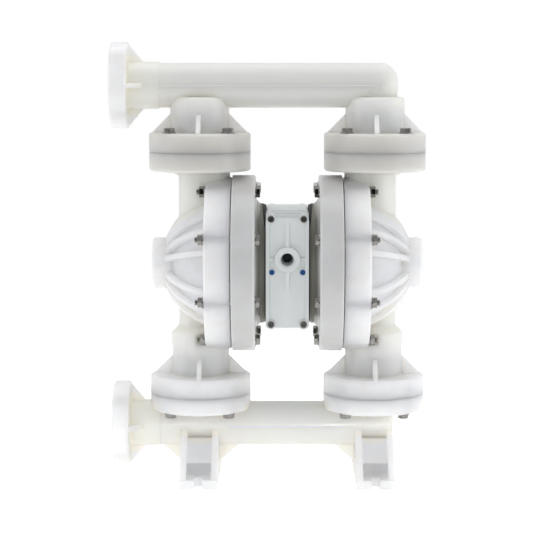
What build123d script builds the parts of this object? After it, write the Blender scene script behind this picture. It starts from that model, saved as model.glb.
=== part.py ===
from build123d import *
from math import cos, radians, sin, sqrt
import os

# Air operated double diaphragm pump with flanged plastic liquid ends.
# X runs across the pump with the pipe flanges at -X, Y runs to the back and Z runs up.
# The origin is the centre of the four foot slots, on the floor.

# Heights of the liquid path, each counted from the one before
suction_pipe_height = 95.2
suction_pipe_to_joint = 57.7
suction_joint_to_rod = 233.6
rod_to_discharge_joint = 199.8
discharge_joint_to_pipe = 117.8

# Places across the pump, counted from its middle
stack_x = 156.0
duct_x = 148.0
port_reach = 312.8
chamber_split = 98.6
boss_reach = 240.3

# Pipes and pipe flanges
pipe_radius = 39.7
pipe_bore_radius = 25.4
elbow_rounding = 31.0
suction_end_wall = 8.6
suction_end_rounding = 6.0
port_flange_thickness = 30.4
port_rim_rounding = 3.0
port_bolt_radius = 60.325
port_bolt_edge = 15.875
port_bolt_count = 4
port_hole_radius = 9.5
port_hub_radius = 42.0
port_hub_length = 55.0
port_gusset_length = 26.0
gusset_thickness = 8.0

# Valve flanges, their necks and the ball chambers
discharge_flange_thickness = 34.5
cap_flange_thickness = 33.5
suction_flange_thickness = 29.8
suction_riser_radius = 37.0
valve_bolt_land = 20.5
valve_bolt_edge = 17.6
valve_bolt_count = 4
neck_radius = 52.5
neck_height = 97.5
neck_rounding = 7.0
neck_gusset_rise = 33.0
neck_gusset_reach = 85.0
housing_radius = 51.5
housing_height = 109.0
housing_rounding = 7.0
housing_shoulder = 14.0
waist_radius = 38.0
waist_rounding = 5.0
duct_web_reach = 18.0
duct_web_drop = 12.0
duct_radius = 46.0
passage_radius = 27.0
ball_radius = 32.0
ball_lift = 16.0
ball_gap = 0.3
guide_clearance = 0.8
guide_thickness = 8.0
guide_count = 4
ball_chamber_radius = 42.0
stop_thickness = 8.0
seat_radius = 50.0
seat_height = 16.0
seat_bore_radius = 24.0
seat_lip_radius = 29.0
seat_fit = 0.2
seal_section = 1.7
seal_centre_radius = 46.0

# Diaphragm chambers
liquid_ring_width = 46.6
air_ring_lip = 3.9
ring_gap = 1.6
air_ring_width = 42.2
chamber_bolt_land = 15.5
chamber_bolt_edge = 11.5
chamber_bolt_count = 8
cavity_radius = 110.0
cavity_depth = 100.0
dome_wall = 14.0
rib_sphere_radius = 127.2
rib_thickness = 9.0
rib_angles = (34.4, 14.6, -20.6, -40.6, -60.6)
crown_start_angle = 48.5
boss_radius = 45.9
boss_rounding = 5.0
air_cone_outer_radius = 116.0
air_cone_inner_radius = 102.0
air_floor_thickness = 10.0
air_floor_radius = 90.0
air_floor_step = 6.0

# Diaphragms, plates and rod
clamp_width = 17.0
diaphragm_thickness = 6.0
diaphragm_wave = 11.0
plate_radius = 76.0
outer_plate_thickness = 18.0
inner_plate_thickness = 12.0
plate_bore_gap = 0.1
rod_radius = 12.5
rod_stud_radius = 8.0
rod_running_gap = 0.05
rod_half_stroke = 22.0

# Centre block with its covers, valves and gaskets
block_half_width = 37.4
block_half_depth = 98.0
block_top = 98.0
block_bottom = 101.6
block_rounding = 3.0
block_step_width = 12.0
block_step_depth = 3.5
block_ridge_y = -60.0
block_ridge_width = 4.0
block_ridge_height = 1.5
block_gasket_thickness = 6.0
block_gasket_radius = 105.0
block_gasket_lip = 4.8
block_gasket_lip_thickness = 4.5
block_gasket_lip_gap = 1.0
cover_thickness = 24.0
cover_top = 90.0
cover_bottom = 100.0
cover_rim = 6.6
cover_recess = 3.0
cover_ridge = 2.6
cover_rib_width = 7.0
cover_rib_rise = 7.0
cover_web_rise = 4.0
cover_web_length = 32.0
cover_bar_width = 6.0
cover_ridge_backing = 1.0
ear_radius = 8.5
ear_x = 28.3
ear_top = 89.5
ear_bottom = 94.0
cover_screw_radius = 3.0
cover_screw_head_radius = 5.8
cover_screw_head_height = 5.0
cover_screw_length = 42.0
inlet_rise = 19.0
inlet_radius = 11.9
inlet_mouth_radius = 15.0
inlet_passage_radius = 9.0
inlet_boss_radius = 22.5
inlet_boss_rise = 6.0
inlet_boss_taper = 4.0
port_mouth_taper = 45.0
exhaust_radius = 16.2
exhaust_passage_radius = 13.0
exhaust_boss_radius = 27.0
plug_radius = 4.8
plug_rise = 1.5
plug_depth = 9.0
plug_x = 26.8
plug_drop = 3.2
plug_pad_width = 2.5
bush_radius = 17.0
bush_length = 18.0
bush_fit = 0.1
rod_seal_length = 6.0
rod_seal_gap = 0.3
main_valve_y = -62.0
main_sleeve_radius = 16.0
main_spool_radius = 11.0
main_spool_stem_radius = 6.5
main_spool_travel = 13.4
main_land_length = 12.0
spool_running_gap = 0.05
pilot_rise = 34.0
pilot_sleeve_radius = 10.0
pilot_spool_radius = 7.0
pilot_pin_radius = 5.0
pilot_pin_gap = 1.0
pilot_travel = 4.0
pilot_land_length = 10.0
end_gap = 0.3

# Fasteners
bolt_radius = 5.0
bolt_hole_gap = 0.5
bolt_head_flats = 17.0
bolt_head_height = 6.5
nut_height = 8.0
thread_beyond_nut = 5.0
washer_radius = 10.4
washer_thickness = 2.0
spot_face_gap = 0.8
insert_radius = 8.0
insert_length = 22.0
insert_gap = 0.05
insert_clearance = 3.0
cap_screw_radius = 4.0
cap_screw_head_radius = 6.5
cap_screw_head_height = 5.0
cap_screw_depth = 20.0
cap_screw_offset = 52.0

# Feet
foot_half_width = 34.0
foot_half_depth = 123.9
foot_plate_thickness = 16.0
foot_rib_thickness = 12.0
foot_rib_inset = 5.0
foot_rib_setback = 4.0
foot_slot_width = 14.6
foot_slot_depth = 24.0
foot_panel_bottom = 38.6
foot_panel_thickness = 20.0
foot_panel_inset = 8.0
foot_pocket_depth = 16.0
foot_pocket_wall = 8.0
foot_gusset_reach = 72.0
foot_gusset_bottom = 24.0

# Heights above the floor
suction_joint = suction_pipe_height + suction_pipe_to_joint
rod_height = suction_joint + suction_joint_to_rod
discharge_joint = rod_height + rod_to_discharge_joint
discharge_pipe_height = discharge_joint + discharge_joint_to_pipe

# Places across the pump that follow from the sizes
liquid_ring_face = chamber_split + liquid_ring_width
air_ring_face = chamber_split - air_ring_width
suction_end = stack_x + pipe_bore_radius + suction_end_wall
air_cap_face = block_half_width + block_gasket_thickness
air_floor = air_cap_face + air_floor_thickness
air_cone_slope = (air_cone_outer_radius - air_cone_inner_radius) / (air_ring_face - air_cap_face)
clamp_radius = cavity_radius + clamp_width
chamber_bolt_radius = clamp_radius + chamber_bolt_land
liquid_ring_radius = chamber_bolt_radius + chamber_bolt_edge
air_ring_radius = liquid_ring_radius + air_ring_lip
valve_bolt_radius = neck_radius + valve_bolt_land
valve_flange_radius = valve_bolt_radius + valve_bolt_edge
port_flange_radius = port_bolt_radius + port_bolt_edge
cavity_sphere_radius = (cavity_radius**2 + cavity_depth**2) / (2 * cavity_depth)
cavity_centre_x = chamber_split + cavity_depth - cavity_sphere_radius
inner_plate_face = chamber_split - diaphragm_thickness / 2 - inner_plate_thickness
outer_plate_face = chamber_split + diaphragm_thickness / 2

# The ribs of a foot slope from its plate up into the pipe
foot_rib_reach = foot_half_depth - foot_rib_setback
foot_rib_top = pipe_radius - foot_rib_inset
foot_slope = (foot_rib_reach - foot_rib_top) / (suction_pipe_height - foot_plate_thickness)

# The ball rests in the seat's cone, whose wall lies square to the ball's radius there
seat_contact_radius = (seat_bore_radius + seat_lip_radius) / 2
seat_contact_drop = sqrt(ball_radius**2 - seat_contact_radius**2)
seat_cone_depth = (seat_lip_radius - seat_bore_radius) * seat_contact_radius / seat_contact_drop
ball_rest = ball_gap + seat_contact_drop - seat_cone_depth / 2
ball_chamber_height = ball_rest + ball_lift + ball_radius + stop_thickness

rod_axis = Axis((0, 0, rod_height), (1, 0, 0))
cross_plane = Plane((0, 0, rod_height), x_dir=(0, 1, 0), z_dir=(1, 0, 0))
front_plane = Plane((0, 0, rod_height), x_dir=(1, 0, 0), z_dir=(0, -1, 0))
back_plane = Plane((0, 0, rod_height), x_dir=(-1, 0, 0), z_dir=(0, 1, 0))
hexagon_radius = bolt_head_flats / sqrt(3)
stack_turns = (0, 90, 180, 270)


def stack_axis(side):
    """Upright centreline of one valve stack."""
    return Axis((side * stack_x, 0, 0), (0, 0, 1))


def stack_plane(side, height):
    """Plane through a valve stack, with its X outwards and its Y up."""
    return Plane((side * stack_x, 0, height), x_dir=(1, 0, 0), z_dir=(0, -1, 0))


def upright_plane(x, height, angle):
    """Upright plane that holds a vertical line, with its X outwards at the angle and its Y up."""
    turn = radians(angle)
    return Plane((x, 0, height), x_dir=(cos(turn), sin(turn), 0), z_dir=(sin(turn), -cos(turn), 0))


def lengthwise_plane(angle):
    """Plane that holds the X axis, with its X along it and its Y outwards at the angle."""
    turn = radians(angle)
    return Plane((0, 0, 0), x_dir=(1, 0, 0), z_dir=(0, -cos(turn), -sin(turn)))


def outline(plane, points, rounds):
    """Closed outline of straight runs on a plane, with a radius for each corner."""
    with BuildSketch(plane) as shape:
        with BuildLine():
            FilletPolyline(*points, radius=rounds, close=True)
        make_face()
    return shape.sketch


def dome_section(centre_x, radius):
    """Half section of a ball about the rod's axis, from the chamber joint outwards."""
    with BuildSketch(front_plane) as shape:
        with Locations((centre_x, 0)):
            Circle(radius)
        with Locations((chamber_split + ring_gap, 0)):
            Rectangle(2 * radius, 2 * radius, align=(Align.MIN, Align.MIN), mode=Mode.INTERSECT)
    return shape.sketch


def ball_path(side, joint):
    """Half section of the space that the ball sweeps, with the guides' clearance."""
    reach = ball_radius + guide_clearance
    with BuildSketch(stack_plane(side, joint)) as shape:
        with BuildLine():
            arc = CenterArc((0, ball_rest + ball_lift), reach, 0, 90)
            Polyline(arc @ 1, (0, 0), (reach, 0), arc @ 0)
        make_face()
    return shape.sketch


def guide_bars(side, joint):
    """Upright bars that cross the ball chamber, before the ball's path is cut from them."""
    with BuildPart() as bars:
        with Locations((side * stack_x, 0, joint)):
            with PolarLocations(0, guide_count // 2, start_angle=45, angular_range=180):
                Box(
                    2 * ball_chamber_radius + 1,
                    guide_thickness,
                    ball_chamber_height,
                    align=(Align.CENTER, Align.CENTER, Align.MIN),
                )
        revolve(ball_path(side, joint), axis=stack_axis(side), mode=Mode.SUBTRACT)
    return bars.part


# Pipe end with its flange, hub and gussets, with the flange's face at the origin
with BuildPart() as port_end:
    flange_points = (
        (0, 0),
        (0, port_flange_radius),
        (port_flange_thickness, port_flange_radius),
        (port_flange_thickness, port_hub_radius),
        (port_flange_thickness + port_hub_length, port_hub_radius),
        (port_flange_thickness + port_hub_length, 0),
    )
    revolve(outline(Plane.XZ, flange_points, (0, 4, port_rim_rounding, 4, 2, 0)), axis=Axis.X)
    for angle in stack_turns:
        with BuildSketch(lengthwise_plane(angle)):
            with BuildLine():
                Polyline(
                    (port_flange_thickness - 2, port_hub_radius - 3),
                    (port_flange_thickness - 2, port_flange_radius - port_rim_rounding),
                    (port_flange_thickness, port_flange_radius - port_rim_rounding),
                    (port_flange_thickness + port_gusset_length, port_hub_radius),
                    (port_flange_thickness + port_gusset_length, port_hub_radius - 3),
                    close=True,
                )
            make_face()
        extrude(amount=gusset_thickness / 2, both=True)
    with BuildSketch(Plane.YZ):
        with PolarLocations(port_bolt_radius, port_bolt_count, start_angle=180 / port_bolt_count):
            Circle(port_hole_radius)
    extrude(amount=port_flange_thickness, mode=Mode.SUBTRACT)

# Discharge manifold: port flange, long pipe, elbow over the right stack and two ball necks
with BuildPart() as discharge_manifold:
    with Locations((-port_reach, 0, discharge_pipe_height)):
        add(port_end.part)
    pipe_points = (
        (-port_reach + port_flange_thickness, 0),
        (-port_reach + port_flange_thickness, pipe_radius),
        (stack_x + pipe_radius, pipe_radius),
        (stack_x + pipe_radius, 0),
    )
    pipe = outline(stack_plane(0, discharge_pipe_height), pipe_points, (0, 0, elbow_rounding, 0))
    revolve(pipe, axis=Axis((0, 0, discharge_pipe_height), (1, 0, 0)))
    for side in (-1, 1):
        neck_points = (
            (0, 0),
            (valve_flange_radius, 0),
            (valve_flange_radius, discharge_flange_thickness),
            (neck_radius, discharge_flange_thickness),
            (neck_radius, neck_height),
            (0, neck_height),
        )
        neck = outline(stack_plane(side, discharge_joint), neck_points, (0, 1, 5, 3, neck_rounding, 0))
        revolve(neck, axis=stack_axis(side))
        for angle in stack_turns:
            with BuildSketch(upright_plane(side * stack_x, discharge_joint, angle)):
                with BuildLine():
                    Polyline(
                        (neck_radius - 3, discharge_flange_thickness - 2),
                        (neck_gusset_reach, discharge_flange_thickness - 2),
                        (neck_gusset_reach, discharge_flange_thickness),
                        (neck_radius, discharge_flange_thickness + neck_gusset_rise),
                        (neck_radius - 3, discharge_flange_thickness + neck_gusset_rise),
                        close=True,
                    )
                make_face()
            extrude(amount=gusset_thickness / 2, both=True)
    with Locations((stack_x, 0, discharge_joint + neck_height / 2)):
        Cylinder(
            pipe_radius,
            discharge_joint_to_pipe - neck_height / 2,
            align=(Align.CENTER, Align.CENTER, Align.MIN),
        )
    with BuildSketch(Plane.YZ.offset(-port_reach)):
        with Locations((0, discharge_pipe_height)):
            Circle(pipe_bore_radius)
    extrude(amount=port_reach + stack_x, mode=Mode.SUBTRACT)
    with Locations((stack_x, 0, discharge_pipe_height)):
        Sphere(pipe_bore_radius, mode=Mode.SUBTRACT)
    for side in (-1, 1):
        with Locations((side * stack_x, 0, discharge_joint)):
            Cylinder(
                ball_chamber_radius,
                ball_chamber_height,
                align=(Align.CENTER, Align.CENTER, Align.MIN),
                mode=Mode.SUBTRACT,
            )
            Cylinder(
                passage_radius,
                discharge_joint_to_pipe,
                align=(Align.CENTER, Align.CENTER, Align.MIN),
                mode=Mode.SUBTRACT,
            )
        add(guide_bars(side, discharge_joint))
        with Locations((side * stack_x, 0, discharge_joint)):
            with PolarLocations(valve_bolt_radius, valve_bolt_count, start_angle=45):
                Cylinder(
                    bolt_radius + bolt_hole_gap,
                    discharge_flange_thickness,
                    align=(Align.CENTER, Align.CENTER, Align.MIN),
                    mode=Mode.SUBTRACT,
                )

# Foot under the right stack, with its slots, side ribs, sloping panels and pipe gussets
with BuildPart() as foot:
    with Locations((stack_x, 0, 0)):
        Box(
            2 * foot_half_width,
            2 * foot_half_depth,
            foot_plate_thickness,
            align=(Align.CENTER, Align.CENTER, Align.MIN),
        )
    for side in (-1, 1):
        with BuildSketch(Plane.YZ.offset(stack_x + side * (foot_half_width - foot_rib_thickness / 2))):
            with BuildLine():
                Polyline(
                    (-foot_rib_reach, foot_plate_thickness - 2),
                    (-foot_rib_reach, foot_plate_thickness),
                    (-foot_rib_top, suction_pipe_height),
                    (foot_rib_top, suction_pipe_height),
                    (foot_rib_reach, foot_plate_thickness),
                    (foot_rib_reach, foot_plate_thickness - 2),
                    close=True,
                )
            make_face()
        extrude(amount=foot_rib_thickness / 2, both=True)
    for face in (-1, 1):
        panel_top = suction_pipe_height - pipe_radius / 2
        low_y = foot_rib_top + foot_slope * (suction_pipe_height - foot_panel_bottom) - foot_panel_inset
        high_y = foot_rib_top + foot_slope * (suction_pipe_height - panel_top) - foot_panel_inset
        with BuildSketch(Plane.YZ.offset(stack_x)):
            with BuildLine():
                Polyline(
                    (face * (low_y - foot_panel_thickness), foot_panel_bottom),
                    (face * low_y, foot_panel_bottom),
                    (face * high_y, panel_top),
                    (face * (high_y - foot_panel_thickness), panel_top),
                    close=True,
                )
            make_face()
            wall_y = low_y - foot_pocket_depth
            with BuildLine():
                Polyline(
                    (face * (wall_y - foot_pocket_wall), foot_plate_thickness / 2),
                    (face * wall_y, foot_plate_thickness / 2),
                    (face * wall_y, foot_panel_bottom + foot_pocket_wall),
                    (face * (wall_y - foot_pocket_wall), foot_panel_bottom + foot_pocket_wall),
                    close=True,
                )
            make_face()
        extrude(amount=foot_half_width - foot_rib_thickness / 2, both=True)
    for face in (-1, 1):
        with Locations((stack_x, face * foot_half_depth, 0)):
            Box(
                foot_slot_width,
                2 * (foot_slot_depth - foot_slot_width / 2),
                3 * foot_plate_thickness,
                mode=Mode.SUBTRACT,
            )
        with Locations((stack_x, face * (foot_half_depth - foot_slot_depth + foot_slot_width / 2), 0)):
            Cylinder(foot_slot_width / 2, 3 * foot_plate_thickness, mode=Mode.SUBTRACT)

# Suction manifold: port flange, pipe with a foot and a valve flange at each stack
with BuildPart() as suction_manifold:
    with Locations((-port_reach, 0, suction_pipe_height)):
        add(port_end.part)
    pipe_points = (
        (-port_reach + port_flange_thickness, 0),
        (-port_reach + port_flange_thickness, pipe_radius),
        (suction_end, pipe_radius),
        (suction_end, 0),
    )
    pipe = outline(stack_plane(0, suction_pipe_height), pipe_points, (0, 0, suction_end_rounding, 0))
    revolve(pipe, axis=Axis((0, 0, suction_pipe_height), (1, 0, 0)))
    add(foot.part)
    mirror(foot.part, about=Plane.YZ)
    for side, edges in ((-1, (-1, 1)), (1, (-1,))):
        for edge in edges:
            with BuildSketch(stack_plane(side, 0)):
                with BuildLine():
                    Polyline(
                        (edge * (foot_half_width - 2), foot_gusset_bottom),
                        (edge * foot_half_width, foot_gusset_bottom),
                        (edge * foot_gusset_reach, suction_pipe_height - pipe_radius + 2),
                        (edge * foot_gusset_reach, suction_pipe_height - pipe_radius + 5),
                        (edge * (foot_half_width - 2), suction_pipe_height - pipe_radius + 5),
                        close=True,
                    )
                make_face()
            extrude(amount=gusset_thickness / 2, both=True)
    for side in (-1, 1):
        flange_points = (
            (0, suction_pipe_to_joint - suction_flange_thickness),
            (valve_flange_radius, suction_pipe_to_joint - suction_flange_thickness),
            (valve_flange_radius, suction_pipe_to_joint),
            (0, suction_pipe_to_joint),
        )
        flange = outline(stack_plane(side, suction_pipe_height), flange_points, (0, 5, 1, 0))
        revolve(flange, axis=stack_axis(side))
        with Locations((side * stack_x, 0, suction_pipe_height)):
            Cylinder(
                suction_riser_radius,
                suction_pipe_to_joint - suction_flange_thickness / 2,
                align=(Align.CENTER, Align.CENTER, Align.MIN),
            )
    with BuildSketch(Plane.YZ.offset(-port_reach)):
        with Locations((0, suction_pipe_height)):
            Circle(pipe_bore_radius)
    extrude(amount=port_reach + stack_x, mode=Mode.SUBTRACT)
    with Locations((stack_x, 0, suction_pipe_height)):
        Sphere(pipe_bore_radius, mode=Mode.SUBTRACT)
    for side in (-1, 1):
        with Locations((side * stack_x, 0, suction_pipe_height)):
            Cylinder(
                pipe_bore_radius,
                suction_pipe_to_joint,
                align=(Align.CENTER, Align.CENTER, Align.MIN),
                mode=Mode.SUBTRACT,
            )
        with Locations((side * stack_x, 0, suction_joint - seat_height)):
            Cylinder(
                seat_radius + seat_fit,
                seat_height,
                align=(Align.CENTER, Align.CENTER, Align.MIN),
                mode=Mode.SUBTRACT,
            )
        with Locations((side * stack_x, 0, suction_joint - suction_flange_thickness)):
            with PolarLocations(valve_bolt_radius, valve_bolt_count, start_angle=45):
                Cylinder(
                    bolt_radius + bolt_hole_gap,
                    suction_flange_thickness,
                    align=(Align.CENTER, Align.CENTER, Align.MIN),
                    mode=Mode.SUBTRACT,
                )

# Ribs of a fluid cap, drawn on the joint plane and cut to the sphere that their crests follow
with BuildPart() as cap_ribs:
    reach = rib_sphere_radius
    with BuildSketch(cross_plane.offset(chamber_split + liquid_ring_width / 2)):
        for rib_angle in rib_angles:
            for start in (rib_angle, 180 - rib_angle):
                with PolarLocations(reach / 2, 1, start_angle=start):
                    Rectangle(reach, rib_thickness)
        crown = radians(crown_start_angle)
        with BuildLine():
            Polyline(
                (0, 0),
                (reach * cos(crown), reach * sin(crown)),
                (reach * cos(crown), 2 * reach),
                (-reach * cos(crown), 2 * reach),
                (-reach * cos(crown), reach * sin(crown)),
                close=True,
            )
        make_face()
    extrude(amount=reach)
    revolve(dome_section(chamber_split, reach), axis=rod_axis, mode=Mode.INTERSECT)

# Right fluid cap: clamping ring, ribbed dome with its boss, suction ball housing and discharge duct
with BuildPart() as right_fluid_cap:
    ring_points = (
        (chamber_split + ring_gap / 2, 0),
        (chamber_split + ring_gap / 2, liquid_ring_radius),
        (liquid_ring_face, liquid_ring_radius),
        (liquid_ring_face, 0),
    )
    revolve(outline(front_plane, ring_points, (0, 1, 4, 0)), axis=rod_axis)
    revolve(dome_section(cavity_centre_x, cavity_sphere_radius + dome_wall), axis=rod_axis)
    add(cap_ribs.part)
    boss_points = (
        (chamber_split, 0),
        (chamber_split, boss_radius),
        (boss_reach, boss_radius),
        (boss_reach, 0),
    )
    revolve(outline(front_plane, boss_points, (0, 0, boss_rounding, 0)), axis=rod_axis)
    with Locations((duct_x, 0, rod_height)):
        Cylinder(
            duct_radius,
            rod_to_discharge_joint - cap_flange_thickness / 2,
            align=(Align.CENTER, Align.CENTER, Align.MIN),
        )
    top_points = (
        (0, -cap_flange_thickness),
        (valve_flange_radius, -cap_flange_thickness),
        (valve_flange_radius, 0),
        (0, 0),
    )
    revolve(outline(stack_plane(1, discharge_joint), top_points, (0, 5, 1, 0)), axis=stack_axis(1))
    housing_points = (
        (0, 0),
        (valve_flange_radius, 0),
        (valve_flange_radius, cap_flange_thickness),
        (housing_radius, cap_flange_thickness),
        (housing_radius, housing_height),
        (waist_radius, housing_height + housing_shoulder),
        (waist_radius, suction_joint_to_rod - cavity_radius / 2),
        (0, suction_joint_to_rod - cavity_radius / 2),
    )
    housing_roundings = (0, 1, 5, 4, housing_rounding, waist_rounding, 0, 0)
    housing = outline(stack_plane(1, suction_joint), housing_points, housing_roundings)
    revolve(housing, axis=stack_axis(1))
    for angle in stack_turns:
        with BuildSketch(upright_plane(stack_x, suction_joint, angle)):
            with BuildLine():
                Polyline(
                    (housing_radius - 3, cap_flange_thickness - 2),
                    (neck_gusset_reach, cap_flange_thickness - 2),
                    (neck_gusset_reach, cap_flange_thickness),
                    (housing_radius, cap_flange_thickness + neck_gusset_rise),
                    (housing_radius - 3, cap_flange_thickness + neck_gusset_rise),
                    close=True,
                )
            make_face()
        extrude(amount=gusset_thickness / 2, both=True)
    with BuildSketch(stack_plane(1, discharge_joint - cap_flange_thickness)):
        with BuildLine():
            Polyline(
                (waist_radius - 4, 2),
                (waist_radius + duct_web_reach, 2),
                (waist_radius + duct_web_reach, 0),
                (waist_radius - 4, -duct_web_drop),
                close=True,
            )
        make_face()
    extrude(amount=gusset_thickness / 2, both=True)
    revolve(dome_section(cavity_centre_x, cavity_sphere_radius), axis=rod_axis, mode=Mode.SUBTRACT)
    clamp_points = (
        (chamber_split, 0),
        (chamber_split, clamp_radius),
        (chamber_split + diaphragm_thickness / 2, clamp_radius),
        (chamber_split + diaphragm_thickness / 2, 0),
    )
    revolve(outline(front_plane, clamp_points, 0), axis=rod_axis, mode=Mode.SUBTRACT)
    with BuildSketch(cross_plane.offset(chamber_split)):
        with PolarLocations(chamber_bolt_radius, chamber_bolt_count, start_angle=22.5):
            Circle(bolt_radius + bolt_hole_gap)
    extrude(amount=liquid_ring_width, mode=Mode.SUBTRACT)
    with BuildSketch(cross_plane.offset(liquid_ring_face)):
        with PolarLocations(chamber_bolt_radius, chamber_bolt_count, start_angle=22.5):
            Circle(washer_radius + spot_face_gap)
    extrude(amount=nut_height + thread_beyond_nut + 2 * washer_thickness, mode=Mode.SUBTRACT)
    with Locations((duct_x, 0, rod_height + cavity_radius / 2)):
        Cylinder(
            passage_radius,
            rod_to_discharge_joint - cavity_radius / 2,
            align=(Align.CENTER, Align.CENTER, Align.MIN),
            mode=Mode.SUBTRACT,
        )
    with Locations((duct_x, 0, suction_joint + ball_chamber_height / 2)):
        Cylinder(
            passage_radius,
            suction_joint_to_rod - (ball_chamber_height + cavity_radius) / 2,
            align=(Align.CENTER, Align.CENTER, Align.MIN),
            mode=Mode.SUBTRACT,
        )
    with Locations((stack_x, 0, suction_joint)):
        Cylinder(
            ball_chamber_radius,
            ball_chamber_height,
            align=(Align.CENTER, Align.CENTER, Align.MIN),
            mode=Mode.SUBTRACT,
        )
    with Locations((stack_x, 0, discharge_joint - seat_height)):
        Cylinder(
            seat_radius + seat_fit,
            seat_height,
            align=(Align.CENTER, Align.CENTER, Align.MIN),
            mode=Mode.SUBTRACT,
        )
    add(guide_bars(1, suction_joint))
    for low in (suction_joint, discharge_joint - insert_length):
        with Locations((stack_x, 0, low)):
            with PolarLocations(valve_bolt_radius, valve_bolt_count, start_angle=45):
                Cylinder(
                    insert_radius,
                    insert_length,
                    align=(Align.CENTER, Align.CENTER, Align.MIN),
                    mode=Mode.SUBTRACT,
                )

with BuildPart() as left_fluid_cap:
    mirror(right_fluid_cap.part, about=Plane.YZ)

# Right air cap: clamping ring and dished floor against the centre block
with BuildPart() as right_air_cap:
    air_points = (
        (chamber_split - ring_gap / 2, cavity_radius),
        (chamber_split - ring_gap / 2, air_ring_radius),
        (air_ring_face, air_ring_radius),
        (air_ring_face, air_cone_outer_radius),
        (air_cap_face, air_cone_inner_radius),
        (air_cap_face, bush_radius),
        (air_floor, bush_radius),
        (air_floor, air_floor_radius),
        (chamber_split - air_ring_width / 2, cavity_radius - air_floor_step),
    )
    revolve(outline(front_plane, air_points, (0, 1, 4, 3, 2, 0, 0, 6, 8)), axis=rod_axis)
    clamp_points = (
        (chamber_split, 0),
        (chamber_split, clamp_radius),
        (chamber_split - diaphragm_thickness / 2, clamp_radius),
        (chamber_split - diaphragm_thickness / 2, 0),
    )
    revolve(outline(front_plane, clamp_points, 0), axis=rod_axis, mode=Mode.SUBTRACT)
    with BuildSketch(cross_plane.offset(air_ring_face)):
        with PolarLocations(chamber_bolt_radius, chamber_bolt_count, start_angle=22.5):
            Circle(bolt_radius + bolt_hole_gap)
    extrude(amount=air_ring_width, mode=Mode.SUBTRACT)
    with BuildSketch(cross_plane.offset(air_cap_face)):
        with GridLocations(2 * cap_screw_offset, 2 * cap_screw_offset, 2, 2):
            Circle(cap_screw_radius + bolt_hole_gap)
        with Locations((0, pilot_rise)):
            Circle(pilot_pin_radius + pilot_pin_gap)
    extrude(amount=air_floor_thickness, mode=Mode.SUBTRACT)

with BuildPart() as left_air_cap:
    mirror(right_air_cap.part, about=Plane.YZ)

# Black gasket between the centre block and the right air cap, with a lip that hugs the cap's cone
with BuildPart() as right_block_gasket:
    with BuildSketch(cross_plane.offset(block_half_width)):
        Circle(block_gasket_radius)
        Circle(bush_radius, mode=Mode.SUBTRACT)
        with GridLocations(2 * cap_screw_offset, 2 * cap_screw_offset, 2, 2):
            Circle(cap_screw_radius + bolt_hole_gap, mode=Mode.SUBTRACT)
        with Locations((0, pilot_rise)):
            Circle(pilot_pin_radius + pilot_pin_gap, mode=Mode.SUBTRACT)
    extrude(amount=block_gasket_thickness)
    lip_radius = air_cone_inner_radius + block_gasket_lip * air_cone_slope
    lip_points = (
        (air_cap_face, air_cone_inner_radius),
        (air_cap_face + block_gasket_lip, lip_radius),
        (air_cap_face + block_gasket_lip - block_gasket_lip_thickness, lip_radius),
        (block_half_width + block_gasket_lip_gap, block_gasket_radius),
        (block_half_width + block_gasket_lip_gap, air_cone_inner_radius),
    )
    revolve(outline(front_plane, lip_points, 0), axis=rod_axis)

with BuildPart() as left_block_gasket:
    mirror(right_block_gasket.part, about=Plane.YZ)

# Centre block with the bores for the rod, both valves, the screws, the inlet and the exhaust
with BuildPart() as centre_block:
    with BuildSketch(front_plane.offset(-block_half_depth)):
        with BuildLine():
            FilletPolyline(
                (-block_half_width, -block_bottom),
                (block_half_width, -block_bottom),
                (block_half_width, block_top),
                (-block_half_width, block_top),
                radius=block_rounding,
                close=True,
            )
        make_face()
    extrude(amount=2 * block_half_depth)
    with Locations((0, block_ridge_y, rod_height + block_top)):
        Box(2 * (block_half_width - block_rounding), block_ridge_width, 2 * block_ridge_height)
    with Locations((0, -block_half_depth, rod_height + block_top)):
        Box(3 * block_half_width, 2 * block_step_width, 2 * block_step_depth, mode=Mode.SUBTRACT)
    with BuildSketch(cross_plane.offset(-block_half_width)):
        Circle(bush_radius + bush_fit)
        with Locations((0, pilot_rise)):
            Circle(pilot_sleeve_radius + bush_fit)
        with Locations((main_valve_y, inlet_rise)):
            Circle(main_sleeve_radius + bush_fit)
    extrude(amount=2 * block_half_width, mode=Mode.SUBTRACT)
    for side in (-1, 1):
        with BuildSketch(cross_plane.offset(side * block_half_width)):
            with GridLocations(2 * cap_screw_offset, 2 * cap_screw_offset, 2, 2):
                Circle(cap_screw_radius + insert_gap)
        extrude(amount=-side * (cap_screw_depth + 2), mode=Mode.SUBTRACT)
    for face in (front_plane, back_plane):
        with BuildSketch(face.offset(block_half_depth)):
            for height in (ear_top, -ear_bottom):
                with Locations((-ear_x, height), (ear_x, height)):
                    Circle(cover_screw_radius + insert_gap)
        extrude(amount=cover_thickness - cover_screw_length - 2, mode=Mode.SUBTRACT)
    with BuildSketch(front_plane.offset(block_half_depth)):
        with Locations((0, inlet_rise)):
            Circle(inlet_passage_radius)
    extrude(amount=-(block_half_depth + main_valve_y), mode=Mode.SUBTRACT)
    with BuildSketch(back_plane.offset(block_half_depth)):
        Circle(exhaust_passage_radius)
    extrude(amount=-block_half_depth / 2, mode=Mode.SUBTRACT)

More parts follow.
